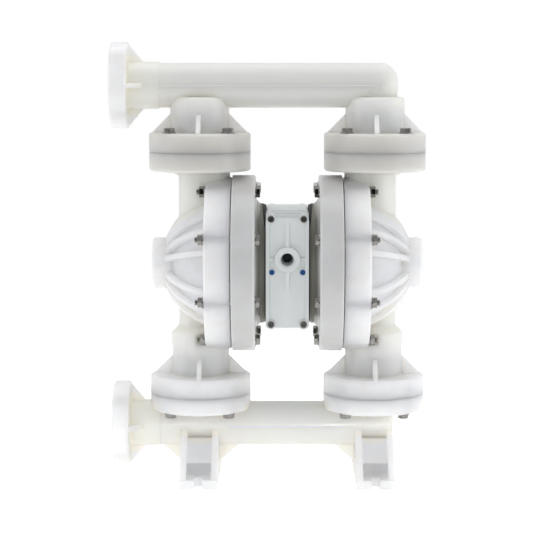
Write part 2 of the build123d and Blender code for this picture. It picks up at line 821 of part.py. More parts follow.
# Air inlet cover: rimmed plate with corner ears, a threaded inlet boss and stiffening ribs
with BuildPart() as inlet_cover:
    with BuildSketch(front_plane.offset(block_half_depth)) as cover_outline:
        with BuildLine():
            FilletPolyline(
                (-block_half_width, -cover_bottom),
                (block_half_width, -cover_bottom),
                (block_half_width, cover_top),
                (-block_half_width, cover_top),
                radius=4,
                close=True,
            )
        make_face()
        for height in (ear_top, -ear_bottom):
            with Locations((-ear_x, height), (ear_x, height)):
                Circle(ear_radius)
    extrude(amount=cover_thickness)
    panel_half_width = block_half_width - cover_rim
    with BuildSketch(front_plane.offset(block_half_depth + cover_thickness)):
        Rectangle(2 * panel_half_width, 3 * block_bottom)
        for height in (ear_top, -ear_bottom):
            with Locations((-ear_x, height), (ear_x, height)):
                Circle(ear_radius, mode=Mode.SUBTRACT)
    extrude(amount=-cover_recess, mode=Mode.SUBTRACT)
    panel_y = -(block_half_depth + cover_thickness - cover_recess)
    with BuildSketch(Plane.XY.offset(rod_height - cover_bottom)):
        with BuildLine():
            Polyline(
                (-panel_half_width, panel_y),
                (0, panel_y - cover_ridge),
                (panel_half_width, panel_y),
                (panel_half_width, panel_y + cover_ridge_backing),
                (-panel_half_width, panel_y + cover_ridge_backing),
                close=True,
            )
        make_face()
    extrude(amount=cover_top + cover_bottom)
    boss_height = rod_height + inlet_rise
    with BuildSketch(Plane.YZ):
        with BuildLine():
            Polyline(
                (panel_y, rod_height + cover_top - cover_rim),
                (panel_y - cover_ridge, rod_height + cover_top - cover_rim),
                (panel_y - cover_rib_rise, boss_height + inlet_boss_radius),
                (panel_y - cover_rib_rise, boss_height),
                (panel_y - cover_ridge - cover_web_rise, boss_height - inlet_boss_radius),
                (panel_y - cover_ridge, boss_height - inlet_boss_radius - cover_web_length),
                (panel_y, boss_height - inlet_boss_radius - cover_web_length),
                close=True,
            )
        make_face()
    extrude(amount=cover_rib_width / 2, both=True)
    with BuildSketch(front_plane.offset(block_half_depth + cover_thickness - cover_recess)):
        with Locations((0, inlet_rise)):
            Rectangle(2 * block_half_width - cover_rim, cover_bar_width)
    extrude(amount=cover_recess)
    with BuildSketch(front_plane.offset(block_half_depth + cover_thickness - cover_recess)):
        with Locations((0, inlet_rise)):
            Circle(inlet_boss_radius)
    extrude(amount=cover_recess + inlet_boss_rise, taper=inlet_boss_taper)
    with BuildSketch(front_plane.offset(block_half_depth + cover_thickness - cover_recess)):
        with Locations((-plug_x, -plug_drop), (plug_x, -plug_drop)):
            Circle(plug_radius + plug_pad_width)
    extrude(amount=cover_recess - 1)
    with BuildSketch(front_plane.offset(block_half_depth)):
        with Locations((0, inlet_rise)):
            Circle(inlet_radius)
    extrude(amount=cover_thickness + inlet_boss_rise, mode=Mode.SUBTRACT)
    with BuildSketch(front_plane.offset(block_half_depth + cover_thickness + inlet_boss_rise)):
        with Locations((0, inlet_rise)):
            Circle(inlet_mouth_radius)
    extrude(amount=-(inlet_mouth_radius - inlet_radius), taper=port_mouth_taper, mode=Mode.SUBTRACT)
    with BuildSketch(front_plane.offset(block_half_depth + cover_thickness)):
        with Locations((-plug_x, -plug_drop), (plug_x, -plug_drop)):
            Circle(plug_radius + insert_gap)
    extrude(amount=-(plug_depth + 1), mode=Mode.SUBTRACT)
    with BuildSketch(front_plane.offset(block_half_depth)):
        for height in (ear_top, -ear_bottom):
            with Locations((-ear_x, height), (ear_x, height)):
                Circle(cover_screw_radius + bolt_hole_gap)
    extrude(amount=cover_thickness, mode=Mode.SUBTRACT)

# Exhaust cover on the back, with its threaded exhaust boss
with BuildPart() as exhaust_cover:
    with BuildSketch(back_plane.offset(block_half_depth)):
        with BuildLine():
            FilletPolyline(
                (-block_half_width, -cover_bottom),
                (block_half_width, -cover_bottom),
                (block_half_width, cover_top),
                (-block_half_width, cover_top),
                radius=4,
                close=True,
            )
        make_face()
        for height in (ear_top, -ear_bottom):
            with Locations((-ear_x, height), (ear_x, height)):
                Circle(ear_radius)
    extrude(amount=cover_thickness - cover_recess)
    with BuildSketch(back_plane.offset(block_half_depth)):
        Circle(exhaust_boss_radius)
        for height in (ear_top, -ear_bottom):
            with Locations((-ear_x, height), (ear_x, height)):
                Circle(ear_radius)
    extrude(amount=cover_thickness)
    with BuildSketch(back_plane.offset(block_half_depth)):
        Circle(exhaust_radius)
        for height in (ear_top, -ear_bottom):
            with Locations((-ear_x, height), (ear_x, height)):
                Circle(cover_screw_radius + bolt_hole_gap)
    extrude(amount=cover_thickness, mode=Mode.SUBTRACT)

# Plugs in the cover's pilot ports
with BuildPart() as port_plugs:
    with BuildSketch(front_plane.offset(block_half_depth + cover_thickness - 1 + plug_rise)):
        with Locations((-plug_x, -plug_drop), (plug_x, -plug_drop)):
            Circle(plug_radius)
    extrude(amount=-(plug_depth + plug_rise) + end_gap)

# Screws of one cover
def cover_screws(face):
    """Four socket screws through a cover's ears into the block."""
    with BuildPart() as screws:
        with BuildSketch(face.offset(block_half_depth + cover_thickness)):
            for height in (ear_top, -ear_bottom):
                with Locations((-ear_x, height), (ear_x, height)):
                    Circle(cover_screw_head_radius)
        extrude(amount=cover_screw_head_height)
        with BuildSketch(face.offset(block_half_depth + cover_thickness)):
            for height in (ear_top, -ear_bottom):
                with Locations((-ear_x, height), (ear_x, height)):
                    Circle(cover_screw_radius)
        extrude(amount=-cover_screw_length)
    return screws.part


with BuildPart() as inlet_cover_screws:
    add(cover_screws(front_plane))

with BuildPart() as exhaust_cover_screws:
    add(cover_screws(back_plane))

# Diaphragm rod with a threaded stud at each end
with BuildPart() as diaphragm_rod:
    stud_end = outer_plate_face + outer_plate_thickness * 0.7
    with BuildSketch(cross_plane.offset(-inner_plate_face)):
        Circle(rod_radius)
    extrude(amount=2 * inner_plate_face)
    with BuildSketch(cross_plane.offset(-stud_end)):
        Circle(rod_stud_radius)
    extrude(amount=2 * stud_end)

# Plates and diaphragm of the right chamber
with BuildPart() as right_inner_plate:
    inner_points = (
        (inner_plate_face, rod_stud_radius + plate_bore_gap),
        (inner_plate_face, plate_radius - 8),
        (inner_plate_face + inner_plate_thickness, plate_radius),
        (inner_plate_face + inner_plate_thickness, rod_stud_radius + plate_bore_gap),
    )
    revolve(outline(front_plane, inner_points, (0, 3, 0, 0)), axis=rod_axis)

with BuildPart() as right_outer_plate:
    outer_points = (
        (outer_plate_face, 0),
        (outer_plate_face, plate_radius),
        (outer_plate_face + outer_plate_thickness / 2, plate_radius - 6),
        (outer_plate_face + outer_plate_thickness, plate_radius / 2),
        (outer_plate_face + outer_plate_thickness, 0),
    )
    revolve(outline(front_plane, outer_points, (0, 2, 8, 12, 0)), axis=rod_axis)
    with BuildSketch(cross_plane.offset(outer_plate_face)):
        Circle(rod_stud_radius + plate_bore_gap)
    extrude(amount=outer_plate_thickness * 0.7 + end_gap, mode=Mode.SUBTRACT)

with BuildPart() as right_diaphragm:
    wave_start = plate_radius + 2
    wave_end = cavity_radius - 2
    half = diaphragm_thickness / 2
    with BuildSketch(front_plane):
        with BuildLine():
            Line((chamber_split - half, rod_stud_radius + plate_bore_gap), (chamber_split - half, wave_start))
            ThreePointArc(
                (chamber_split - half, wave_start),
                (chamber_split - half + diaphragm_wave, (wave_start + wave_end) / 2),
                (chamber_split - half, wave_end),
            )
            Polyline(
                (chamber_split - half, wave_end),
                (chamber_split - half, clamp_radius - seat_fit),
                (chamber_split + half, clamp_radius - seat_fit),
                (chamber_split + half, wave_end),
            )
            ThreePointArc(
                (chamber_split + half, wave_end),
                (chamber_split + half + diaphragm_wave, (wave_start + wave_end) / 2),
                (chamber_split + half, wave_start),
            )
            Polyline(
                (chamber_split + half, wave_start),
                (chamber_split + half, rod_stud_radius + plate_bore_gap),
                (chamber_split - half, rod_stud_radius + plate_bore_gap),
            )
        make_face()
    revolve(axis=rod_axis)

with BuildPart() as left_inner_plate:
    mirror(right_inner_plate.part, about=Plane.YZ)

with BuildPart() as left_outer_plate:
    mirror(right_outer_plate.part, about=Plane.YZ)

with BuildPart() as left_diaphragm:
    mirror(right_diaphragm.part, about=Plane.YZ)

# Bushes and seals that guide the rod in the block
with BuildPart() as rod_bushes:
    for side in (-1, 1):
        with BuildSketch(cross_plane.offset(side * block_half_width)):
            Circle(bush_radius)
            Circle(rod_radius + rod_running_gap, mode=Mode.SUBTRACT)
        extrude(amount=-side * bush_length)

with BuildPart() as rod_seals:
    for side in (-1, 1):
        with BuildSketch(cross_plane.offset(side * (block_half_width - bush_length))):
            Circle(bush_radius)
            Circle(rod_radius + rod_seal_gap, mode=Mode.SUBTRACT)
        extrude(amount=-side * rod_seal_length)

# Main air valve: fixed sleeve and sliding spool, which rests at its left end
main_spool_length = 2 * block_half_width - main_spool_travel - 2 * end_gap
with BuildPart() as main_valve_sleeve:
    with BuildSketch(cross_plane.offset(-block_half_width)):
        with Locations((main_valve_y, inlet_rise)):
            Circle(main_sleeve_radius)
            Circle(main_spool_radius + spool_running_gap, mode=Mode.SUBTRACT)
    extrude(amount=2 * block_half_width)

with BuildPart() as main_valve_spool:
    spool_start = -block_half_width + end_gap
    with BuildSketch(cross_plane.offset(spool_start)):
        with Locations((main_valve_y, inlet_rise)):
            Circle(main_spool_stem_radius)
    extrude(amount=main_spool_length)
    for share in (0, 0.5, 1):
        land_start = spool_start + share * (main_spool_length - main_land_length)
        with BuildSketch(cross_plane.offset(land_start)):
            with Locations((main_valve_y, inlet_rise)):
                Circle(main_spool_radius)
        extrude(amount=main_land_length)

# Pilot valve: fixed sleeve and a spool whose pins reach into both air chambers
pilot_half_length = inner_plate_face - rod_half_stroke - pilot_travel - end_gap
with BuildPart() as pilot_valve_sleeve:
    with BuildSketch(cross_plane.offset(-block_half_width)):
        with Locations((0, pilot_rise)):
            Circle(pilot_sleeve_radius)
            Circle(pilot_spool_radius + spool_running_gap, mode=Mode.SUBTRACT)
    extrude(amount=2 * block_half_width)

with BuildPart() as pilot_valve_spool:
    with BuildSketch(cross_plane.offset(-pilot_half_length)):
        with Locations((0, pilot_rise)):
            Circle(pilot_pin_radius)
    extrude(amount=2 * pilot_half_length)
    land_reach = block_half_width - pilot_travel - end_gap
    for share in (0, 0.5, 1):
        land_start = -land_reach + share * (2 * land_reach - pilot_land_length)
        with BuildSketch(cross_plane.offset(land_start)):
            with Locations((0, pilot_rise)):
                Circle(pilot_spool_radius)
        extrude(amount=pilot_land_length)

# Screws that hold the air caps to the block from inside the air chambers
with BuildPart() as air_cap_screws:
    for side in (-1, 1):
        with BuildSketch(cross_plane.offset(side * air_floor)):
            with GridLocations(2 * cap_screw_offset, 2 * cap_screw_offset, 2, 2):
                Circle(cap_screw_head_radius)
        extrude(amount=side * cap_screw_head_height)
        with BuildSketch(cross_plane.offset(side * air_floor)):
            with GridLocations(2 * cap_screw_offset, 2 * cap_screw_offset, 2, 2):
                Circle(cap_screw_radius)
        extrude(amount=-side * (air_floor - block_half_width + cap_screw_depth))

# Chamber fasteners: heads on the air side, nuts and thread ends on the liquid side
clamp_length = liquid_ring_width + air_ring_width
with BuildPart() as chamber_bolts:
    for side in (-1, 1):
        head_face = air_ring_face - washer_thickness
        with BuildSketch(cross_plane.offset(side * head_face)):
            with PolarLocations(chamber_bolt_radius, chamber_bolt_count, start_angle=22.5):
                RegularPolygon(hexagon_radius, 6)
        extrude(amount=-side * bolt_head_height)
        with BuildSketch(cross_plane.offset(side * head_face)):
            with PolarLocations(chamber_bolt_radius, chamber_bolt_count, start_angle=22.5):
                Circle(bolt_radius)
        extrude(amount=side * (clamp_length + 2 * washer_thickness + nut_height + thread_beyond_nut))

with BuildPart() as chamber_nuts:
    for side in (-1, 1):
        with BuildSketch(cross_plane.offset(side * (liquid_ring_face + washer_thickness))):
            with PolarLocations(chamber_bolt_radius, chamber_bolt_count, start_angle=22.5):
                RegularPolygon(hexagon_radius, 6)
                Circle(bolt_radius + insert_gap, mode=Mode.SUBTRACT)
        extrude(amount=side * nut_height)

with BuildPart() as chamber_washers:
    for side in (-1, 1):
        for face, way in ((liquid_ring_face, 1), (air_ring_face, -1)):
            with BuildSketch(cross_plane.offset(side * face)):
                with PolarLocations(chamber_bolt_radius, chamber_bolt_count, start_angle=22.5):
                    Circle(washer_radius)
                    Circle(bolt_radius + insert_gap, mode=Mode.SUBTRACT)
            extrude(amount=side * way * washer_thickness)

# Valve flange fasteners: heads outside the manifolds, threaded inserts in the fluid caps
flange_sets = (
    (discharge_joint, discharge_flange_thickness, 1),
    (suction_joint, suction_flange_thickness, -1),
)
with BuildPart() as flange_bolts:
    for joint, thickness, way in flange_sets:
        head = Plane.XY.offset(joint + way * (thickness + washer_thickness))
        for side in (-1, 1):
            with BuildSketch(head):
                with Locations((side * stack_x, 0)):
                    with PolarLocations(valve_bolt_radius, valve_bolt_count, start_angle=45):
                        RegularPolygon(hexagon_radius, 6)
            extrude(amount=way * bolt_head_height)
            with BuildSketch(head):
                with Locations((side * stack_x, 0)):
                    with PolarLocations(valve_bolt_radius, valve_bolt_count, start_angle=45):
                        Circle(bolt_radius)
            extrude(amount=-way * (thickness + washer_thickness + insert_length - insert_clearance))

with BuildPart() as flange_washers:
    for joint, thickness, way in flange_sets:
        for side in (-1, 1):
            with BuildSketch(Plane.XY.offset(joint + way * thickness)):
                with Locations((side * stack_x, 0)):
                    with PolarLocations(valve_bolt_radius, valve_bolt_count, start_angle=45):
                        Circle(washer_radius)
                        Circle(bolt_radius + insert_gap, mode=Mode.SUBTRACT)
            extrude(amount=way * washer_thickness)

with BuildPart() as flange_inserts:
    for joint, thickness, way in flange_sets:
        for side in (-1, 1):
            with BuildSketch(Plane.XY.offset(joint)):
                with Locations((side * stack_x, 0)):
                    with PolarLocations(valve_bolt_radius, valve_bolt_count, start_angle=45):
                        Circle(insert_radius - insert_gap)
                        Circle(bolt_radius + insert_gap, mode=Mode.SUBTRACT)
            extrude(amount=-way * insert_length)

# Valve seats with their seals, and the balls that rest in them
groove_half_width = seal_section + 0.1
groove_depth = 2 * seal_section
valve_joints = {"suction": suction_joint, "discharge": discharge_joint}
valve_pieces = {}
for stage, joint in valve_joints.items():
    for side, hand in ((-1, "left"), (1, "right")):
        with BuildPart() as valve_seat:
            seat_points = (
                (seat_bore_radius, -seat_height),
                (seat_radius, -seat_height),
                (seat_radius, 0),
                (seal_centre_radius + groove_half_width, 0),
                (seal_centre_radius + groove_half_width, -groove_depth),
                (seal_centre_radius - groove_half_width, -groove_depth),
                (seal_centre_radius - groove_half_width, 0),
                (seat_lip_radius, 0),
                (seat_bore_radius, -seat_cone_depth),
            )
            revolve(outline(stack_plane(side, joint), seat_points, 0), axis=stack_axis(side))
        with BuildPart() as valve_ball:
            with Locations((side * stack_x, 0, joint + ball_rest)):
                Sphere(ball_radius)
        valve_pieces[f"{hand}_{stage}_seat"] = valve_seat
        valve_pieces[f"{hand}_{stage}_ball"] = valve_ball

with BuildPart() as seat_seals:
    for joint in valve_joints.values():
        for side in (-1, 1):
            with BuildSketch(Plane.XY.offset(joint)):
                with Locations((side * stack_x, 0)):
                    Circle(seal_centre_radius + seal_section)
                    Circle(seal_centre_radius - seal_section, mode=Mode.SUBTRACT)
            extrude(amount=-2 * seal_section)

pieces = {
    "discharge_manifold": discharge_manifold,
    "suction_manifold": suction_manifold,
    "left_fluid_cap": left_fluid_cap,
    "right_fluid_cap": right_fluid_cap,
    "left_air_cap": left_air_cap,
    "right_air_cap": right_air_cap,
    "left_block_gasket": left_block_gasket,
    "right_block_gasket": right_block_gasket,
    "centre_block": centre_block,
    "inlet_cover": inlet_cover,
    "exhaust_cover": exhaust_cover,
    "port_plugs": port_plugs,
    "inlet_cover_screws": inlet_cover_screws,
    "exhaust_cover_screws": exhaust_cover_screws,
    "diaphragm_rod": diaphragm_rod,
    "left_inner_plate": left_inner_plate,
    "right_inner_plate": right_inner_plate,
    "left_outer_plate": left_outer_plate,
    "right_outer_plate": right_outer_plate,
    "left_diaphragm": left_diaphragm,
    "right_diaphragm": right_diaphragm,
    "rod_bushes": rod_bushes,
    "rod_seals": rod_seals,
    "main_valve_sleeve": main_valve_sleeve,
    "main_valve_spool": main_valve_spool,
    "pilot_valve_sleeve": pilot_valve_sleeve,
    "pilot_valve_spool": pilot_valve_spool,
    "air_cap_screws": air_cap_screws,
    "chamber_bolts": chamber_bolts,
    "chamber_nuts": chamber_nuts,
    "chamber_washers": chamber_washers,
    "flange_bolts": flange_bolts,
    "flange_washers": flange_washers,
    "flange_inserts": flange_inserts,
    "seat_seals": seat_seals,
    **valve_pieces,
}

os.makedirs("parts", exist_ok=True)
for label, piece in pieces.items():
    piece.part.label = label
    export_step(piece.part, f"parts/{label}.step")
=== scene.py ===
"""Looks of the air operated diaphragm pump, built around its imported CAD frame."""

import logging
import math
from dataclasses import dataclass
from enum import Enum
from typing import Sequence

import bpy
from mathutils import Matrix, Vector


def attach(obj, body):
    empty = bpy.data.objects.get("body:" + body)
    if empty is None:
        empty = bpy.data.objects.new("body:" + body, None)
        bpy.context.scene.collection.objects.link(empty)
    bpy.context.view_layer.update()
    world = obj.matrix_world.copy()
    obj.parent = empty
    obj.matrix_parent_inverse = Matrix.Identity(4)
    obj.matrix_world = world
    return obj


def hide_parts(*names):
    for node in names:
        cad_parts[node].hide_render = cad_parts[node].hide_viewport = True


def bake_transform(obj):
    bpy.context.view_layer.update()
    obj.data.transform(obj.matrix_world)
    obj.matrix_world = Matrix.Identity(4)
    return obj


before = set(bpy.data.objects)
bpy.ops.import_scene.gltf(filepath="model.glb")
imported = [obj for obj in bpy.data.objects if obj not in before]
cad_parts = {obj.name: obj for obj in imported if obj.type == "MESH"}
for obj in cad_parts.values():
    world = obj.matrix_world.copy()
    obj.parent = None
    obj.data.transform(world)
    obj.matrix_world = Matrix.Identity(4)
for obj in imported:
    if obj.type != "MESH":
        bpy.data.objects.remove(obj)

LOG = logging.getLogger("pump")
MM = 0.001
Piece = bpy.types.Object
Tree = bpy.types.NodeTree
Socket = bpy.types.NodeSocket
Profile = list[tuple[float, float]]

# Sizes that finishes and sub-assemblies share, in millimetres
STACK_X = 156.0
PIPE_HEIGHTS = (95.2, 704.1)
DISCHARGE_JOINT = 586.3
# How much wider a bore's radius is than its bolt's, in millimetres
FIT = 0.05
# How far a shank runs into its head, and a cutting tool out of its piece, in millimetres
OVERLAP = 0.5
OVERCUT = 1.0
# Facets round a shank, round a head or washer, and round a port
SHANK_FACETS, HEAD_FACETS, PORT_FACETS = 24, 32, 48
# A hexagon's corners are turned off in this many cuts, down to this share of its width
CHAMFER_CUTS = 24
CHAMFER_SHARE = 0.475
# One turn of a thread from its crest on: shares of the pitch and of the depth
THREAD_TURN = ((0.0, 0), (0.25, 0), (0.5, 1), (0.65, 1), (0.9, 0))


class Hand(Enum):
    """The two ends of the pump, with the sign of their X."""

    LEFT = -1
    RIGHT = 1


class Stage(Enum):
    """The two valve levels of the liquid path."""

    SUCTION = "suction"
    DISCHARGE = "discharge"


# Colours and shader nodes


def linear(hex_colour: str) -> tuple[float, float, float, float]:
    """Turns an sRGB hex colour to linear.

    Args:
        hex_colour: the colour, such as "#C8CDD0".

    Returns:
        The linear colour with full alpha.
    """
    channels = [int(hex_colour[i : i + 2], 16) / 255 for i in (1, 3, 5)]
    bent = [c / 12.92 if c <= 0.04045 else ((c + 0.055) / 1.055) ** 2.4 for c in channels]
    return (bent[0], bent[1], bent[2], 1.0)


def add_node(
    tree: Tree,
    kind: str,
    values: dict[str | int, object] | None = None,
    links: dict[str | int, Socket] | None = None,
    **settings: object,
) -> bpy.types.Node:
    """Adds one shader node with its settings and links.

    Args:
        tree: the material's node tree.
        kind: the node's type.
        values: what is set on its inputs, by the input's name or place.
        links: the output that feeds each input, by the input's name or place.
        settings: the node's own settings.

    Returns:
        The new node.
    """
    node = tree.nodes.new(kind)
    for name, setting in settings.items():
        setattr(node, name, setting)
    for name, value in (values or {}).items():
        node.inputs[name].default_value = value
    for name, output in (links or {}).items():
        tree.links.new(output, node.inputs[name])
    return node


def new_material(name: str) -> tuple[bpy.types.Material, Tree, Socket]:
    """Starts a material with an empty node tree.

    Args:
        name: the material's name.

    Returns:
        The material, its tree and the object coordinates.
    """
    material = bpy.data.materials.new(name)
    material.use_nodes = True
    tree = material.node_tree
    tree.nodes.clear()
    return material, tree, add_node(tree, "ShaderNodeTexCoord").outputs["Object"]


def per_metre(size_mm: float) -> float:
    """Texture scale at which one cell of a pattern is that many millimetres."""
    return 1000.0 / size_mm


@dataclass(frozen=True)
class NaturalPolypropylene:
    """Unpigmented polypropylene, injection moulded in thick walls and left as moulded.

    Attributes:
        name: the material's name.
        cool: colour of flanges, domes and ribs.
        cloudy: colour of the clouds in them.
        warm: colour of the walls of the liquid path, behind which the milky bores show through.
        cloud_mm: size of the clouds.
        flow_mm: size of the flow ripples.
        flow_depth_mm: height of the flow ripples.
        grain_mm: size of the mould's fine texture.
        grain_depth_mm: height of that texture.
        edge_mm: radius of the softened edges.
        depth_mm: how far light travels in the wall.
        roughness: mean roughness of the skin.
        stack_mm: distance of a valve stack from the pump's middle.
        pipes_mm: heights of the two pipes.
        path_mm: distances from a tube's axis where the warm colour is full, and where it ends.
        joint_shade: painted shade on the two flanges clamped at the discharge level, which are darker where
            less light falls on them.
        joint_mm: height where those two flanges meet, and half the height of the two flanges.
        joint_fade_mm: half the height over which their painted shade fades.
        cone_shade: painted shade on the air cap's inner conical face beside the block, which lies in shade.
        cone_mm: distance from the pump's middle at which that painted shade ends, or 0 where there is none.
        cone_fade_mm: half the length over which its colour fades.
    """

    name: str = "natural_polypropylene_moulded"
    cool: str = "#F6F7F8"
    cloudy: str = "#EFEEEC"
    warm: str = "#FFF8E8"
    cloud_mm: float = 55.0
    flow_mm: float = 7.0
    flow_depth_mm: float = 0.25
    grain_mm: float = 1.1
    grain_depth_mm: float = 0.04
    edge_mm: float = 1.4
    depth_mm: float = 40.0
    roughness: float = 0.34
    stack_mm: float = STACK_X
    pipes_mm: tuple[float, float] = PIPE_HEIGHTS
    path_mm: tuple[float, float] = (46.0, 62.0)
    joint_shade: str = "#D6D4CE"
    joint_mm: tuple[float, float] = (DISCHARGE_JOINT, 36.0)
    joint_fade_mm: float = 4.0
    cone_shade: str = "#97958C"
    cone_mm: float = 0.0
    cone_fade_mm: float = 2.0

    def off_axis(self, tree: Tree, along: Socket, middle: float, half: float) -> Socket:
        """Gives how far a coordinate lies from the nearer one of two places.

        Args:
            tree: the material's node tree.
            along: the coordinate, in metres.
            middle: the point half way between the two places, in millimetres.
            half: the distance of each place from that point.

        Returns:
            The distance, in metres, below zero between the two places.
        """
        centred = add_node(tree, "ShaderNodeMath", {1: middle * MM}, {0: along}, operation="SUBTRACT")
        folded = add_node(tree, "ShaderNodeMath", None, {0: centred.outputs[0]}, operation="ABSOLUTE")
        off = add_node(tree, "ShaderNodeMath", {1: half * MM}, {0: folded.outputs[0]}, operation="SUBTRACT")
        return off.outputs[0]

    def liquid_path(self, tree: Tree, axes: Sequence[Socket]) -> Socket:
        """Gives 1 on the walls round the stacks and the pipes, and 0 away from them.

        Args:
            tree: the material's node tree.
            axes: the object coordinates along X, Y and Z.

        Returns:
            The share of the warm colour.
        """
        low, high = self.pipes_mm
        stack_off = self.off_axis(tree, axes[0], 0, self.stack_mm)
        pipe_off = self.off_axis(tree, axes[2], (low + high) / 2, (high - low) / 2)
        reaches = {}
        for place, off in enumerate((stack_off, pipe_off)):
            arm = add_node(tree, "ShaderNodeCombineXYZ", None, {0: off, 1: axes[1]}).outputs[0]
            reach = add_node(tree, "ShaderNodeVectorMath", None, {0: arm}, operation="LENGTH")
            reaches[place] = reach.outputs["Value"]
        nearer = add_node(tree, "ShaderNodeMath", None, reaches, operation="MINIMUM")
        full, none = self.path_mm
        share = add_node(
            tree,
            "ShaderNodeMapRange",
            {"From Min": none * MM, "From Max": full * MM},
            {"Value": nearer.outputs[0]},
            interpolation_type="SMOOTHSTEP",
        )
        return share.outputs["Result"]

    def layers(self, tree: Tree, place: Socket) -> list[tuple[str, Socket]]:
        """Gives the colours that lie over the cool one.

        Args:
            tree: the material's node tree.
            place: the object coordinates.

        Returns:
            Each colour with its share, the last one on top.
        """
        axes = add_node(tree, "ShaderNodeSeparateXYZ", None, {0: place}).outputs
        # milky clouds, because crystals grow unevenly as a thick wall cools
        clouds = add_node(
            tree,
            "ShaderNodeTexNoise",
            {"Scale": per_metre(self.cloud_mm), "Detail": 3.0, "Roughness": 0.55},
            {"Vector": place},
        ).outputs["Fac"]
        milky = add_node(tree, "ShaderNodeMapRange", {"From Min": 0.35, "From Max": 0.68}, {"Value": clouds})
        layers = [(self.cloudy, milky.outputs["Result"]), (self.warm, self.liquid_path(tree, axes))]
        # painted shade: a darker band on the flanges clamped at the discharge level
        bands = [(self.joint_shade, axes[2], self.joint_mm, self.joint_fade_mm, "SMOOTHSTEP")]
        # painted shade on the air cap's inner conical face, where a reach is set
        if self.cone_mm:
            bands.append((self.cone_shade, axes[0], (0, self.cone_mm), self.cone_fade_mm, "LINEAR"))
        for colour, along, (middle, half), fade, curve in bands:
            share = add_node(
                tree,
                "ShaderNodeMapRange",
                {"From Min": fade * MM, "From Max": -fade * MM},
                {"Value": self.off_axis(tree, along, middle, half)},
                interpolation_type=curve,
            )
            layers.append((colour, share.outputs["Result"]))
        return layers

    def material(self) -> bpy.types.Material:
        """Builds the material."""
        material, tree, place = new_material(self.name)
        under = {}
        for colour, share in self.layers(tree, place):
            colours = {6: linear(self.cool), 7: linear(colour)}
            body = add_node(tree, "ShaderNodeMix", colours, {0: share, **under}, data_type="RGBA")
            under = {6: body.outputs[2]}
        # the mould's skin: soft flow ripples under a fine spark-eroded grain
        ripples, grain = (
            add_node(tree, "ShaderNodeTexNoise", {"Scale": per_metre(size), "Detail": 2.0}, {"Vector": place})
            for size in (self.flow_mm, self.grain_mm)
        )
        soft_edges = add_node(tree, "ShaderNodeBevel", {"Radius": self.edge_mm * MM}, samples=6)
        rippled = add_node(
            tree,
            "ShaderNodeBump",
            {"Strength": 0.35, "Distance": self.flow_depth_mm * MM},
            {"Height": ripples.outputs["Fac"], "Normal": soft_edges.outputs["Normal"]},
        )
        skin = add_node(
            tree,
            "ShaderNodeBump",
            {"Strength": 0.3, "Distance": self.grain_depth_mm * MM},
            {"Height": grain.outputs["Fac"], "Normal": rippled.outputs["Normal"]},
        )
        gloss = add_node(
            tree,
            "ShaderNodeMapRange",
            {"To Min": self.roughness - 0.06, "To Max": self.roughness + 0.08},
            {"Value": ripples.outputs["Fac"]},
        )
        shader = add_node(
            tree,
            "ShaderNodeBsdfPrincipled",
            {
                "IOR": 1.49,
                "Subsurface Weight": 1.0,
                "Subsurface Radius": (1.0, 0.97, 0.9),
                "Subsurface Scale": self.depth_mm * MM,
                "Coat Weight": 0.35,
                "Coat Roughness": 0.12,
            },
            {
                "Base Color": body.outputs[2],
                "Roughness": gloss.outputs["Result"],
                "Normal": skin.outputs["Normal"],
            },
        )
        add_node(tree, "ShaderNodeOutputMaterial", None, {"Surface": shader.outputs[0]})
        return material


@dataclass(frozen=True)
class Surface:
    """An opaque finish with fine grain, soft edges and uneven gloss.

    Attributes:
        name: the material's name, after the real material and how its surface was made.
        colour: the main colour.
        tint: the colour that the patches lean to.
        patch_mm: size of the patches.
        grain_mm: size of the grain.
        grain_depth_mm: height of the grain.
        roughness: mean roughness.
        uneven: how far the roughness goes up and down.
        edge_mm: radius of the softened edges.
        metallic: 1 for bare metal.
        stretch: how much finer the grain is along X, Y and Z.
        ior: index of refraction of a non-metal.
        coat: weight of a clear layer.
    """

    name: str
    colour: str
    tint: str
    patch_mm: float
    grain_mm: float
    grain_depth_mm: float
    roughness: float
    uneven: float
    edge_mm: float
    metallic: float = 0.0
    stretch: tuple[float, float, float] = (1.0, 1.0, 1.0)
    ior: float = 1.5
    coat: float = 0.0

    def material(self) -> bpy.types.Material:
        """Builds the material."""
        material, tree, place = new_material(self.name)
        drawn = add_node(tree, "ShaderNodeMapping", {"Scale": self.stretch}, {"Vector": place})
        patches, grain = (
            add_node(tree, "ShaderNodeTexNoise", {"Scale": per_metre(size), "Detail": detail}, {"Vector": at})
            for size, detail, at in ((self.patch_mm, 4.0, place), (self.grain_mm, 3.0, drawn.outputs[0]))
        )
        colours = {6: linear(self.colour), 7: linear(self.tint)}
        body = add_node(tree, "ShaderNodeMix", colours, {0: patches.outputs["Fac"]}, data_type="RGBA")
        soft_edges = add_node(tree, "ShaderNodeBevel", {"Radius": self.edge_mm * MM}, samples=4)
        skin = add_node(
            tree,
            "ShaderNodeBump",
            {"Strength": 0.5, "Distance": self.grain_depth_mm * MM},
            {"Height": grain.outputs["Fac"], "Normal": soft_edges.outputs["Normal"]},
        )
        gloss = add_node(
            tree,
            "ShaderNodeMapRange",
            {"To Min": self.roughness - self.uneven, "To Max": self.roughness + self.uneven},
            {"Value": grain.outputs["Fac"]},
        )
        values = {"Metallic": self.metallic, "Coat Weight": self.coat}
        if not self.metallic:
            values["IOR"] = self.ior
        shader = add_node(
            tree,
            "ShaderNodeBsdfPrincipled",
            values,
            {
                "Base Color": body.outputs[2],
                "Roughness": gloss.outputs["Result"],
                "Normal": skin.outputs["Normal"],
            },
        )
        add_node(tree, "ShaderNodeOutputMaterial", None, {"Surface": shader.outputs[0]})
        return material


# Stainless steel fasteners, cold headed and rolled: bright, with a faint grain
STAINLESS = Surface(
    name="stainless_steel_rolled", colour="#B9B7B3", tint="#5F5D5A",
    patch_mm=3.0, grain_mm=0.5, grain_depth_mm=0.015, edge_mm=0.3,
    roughness=0.14, uneven=0.06, metallic=1.0,
)
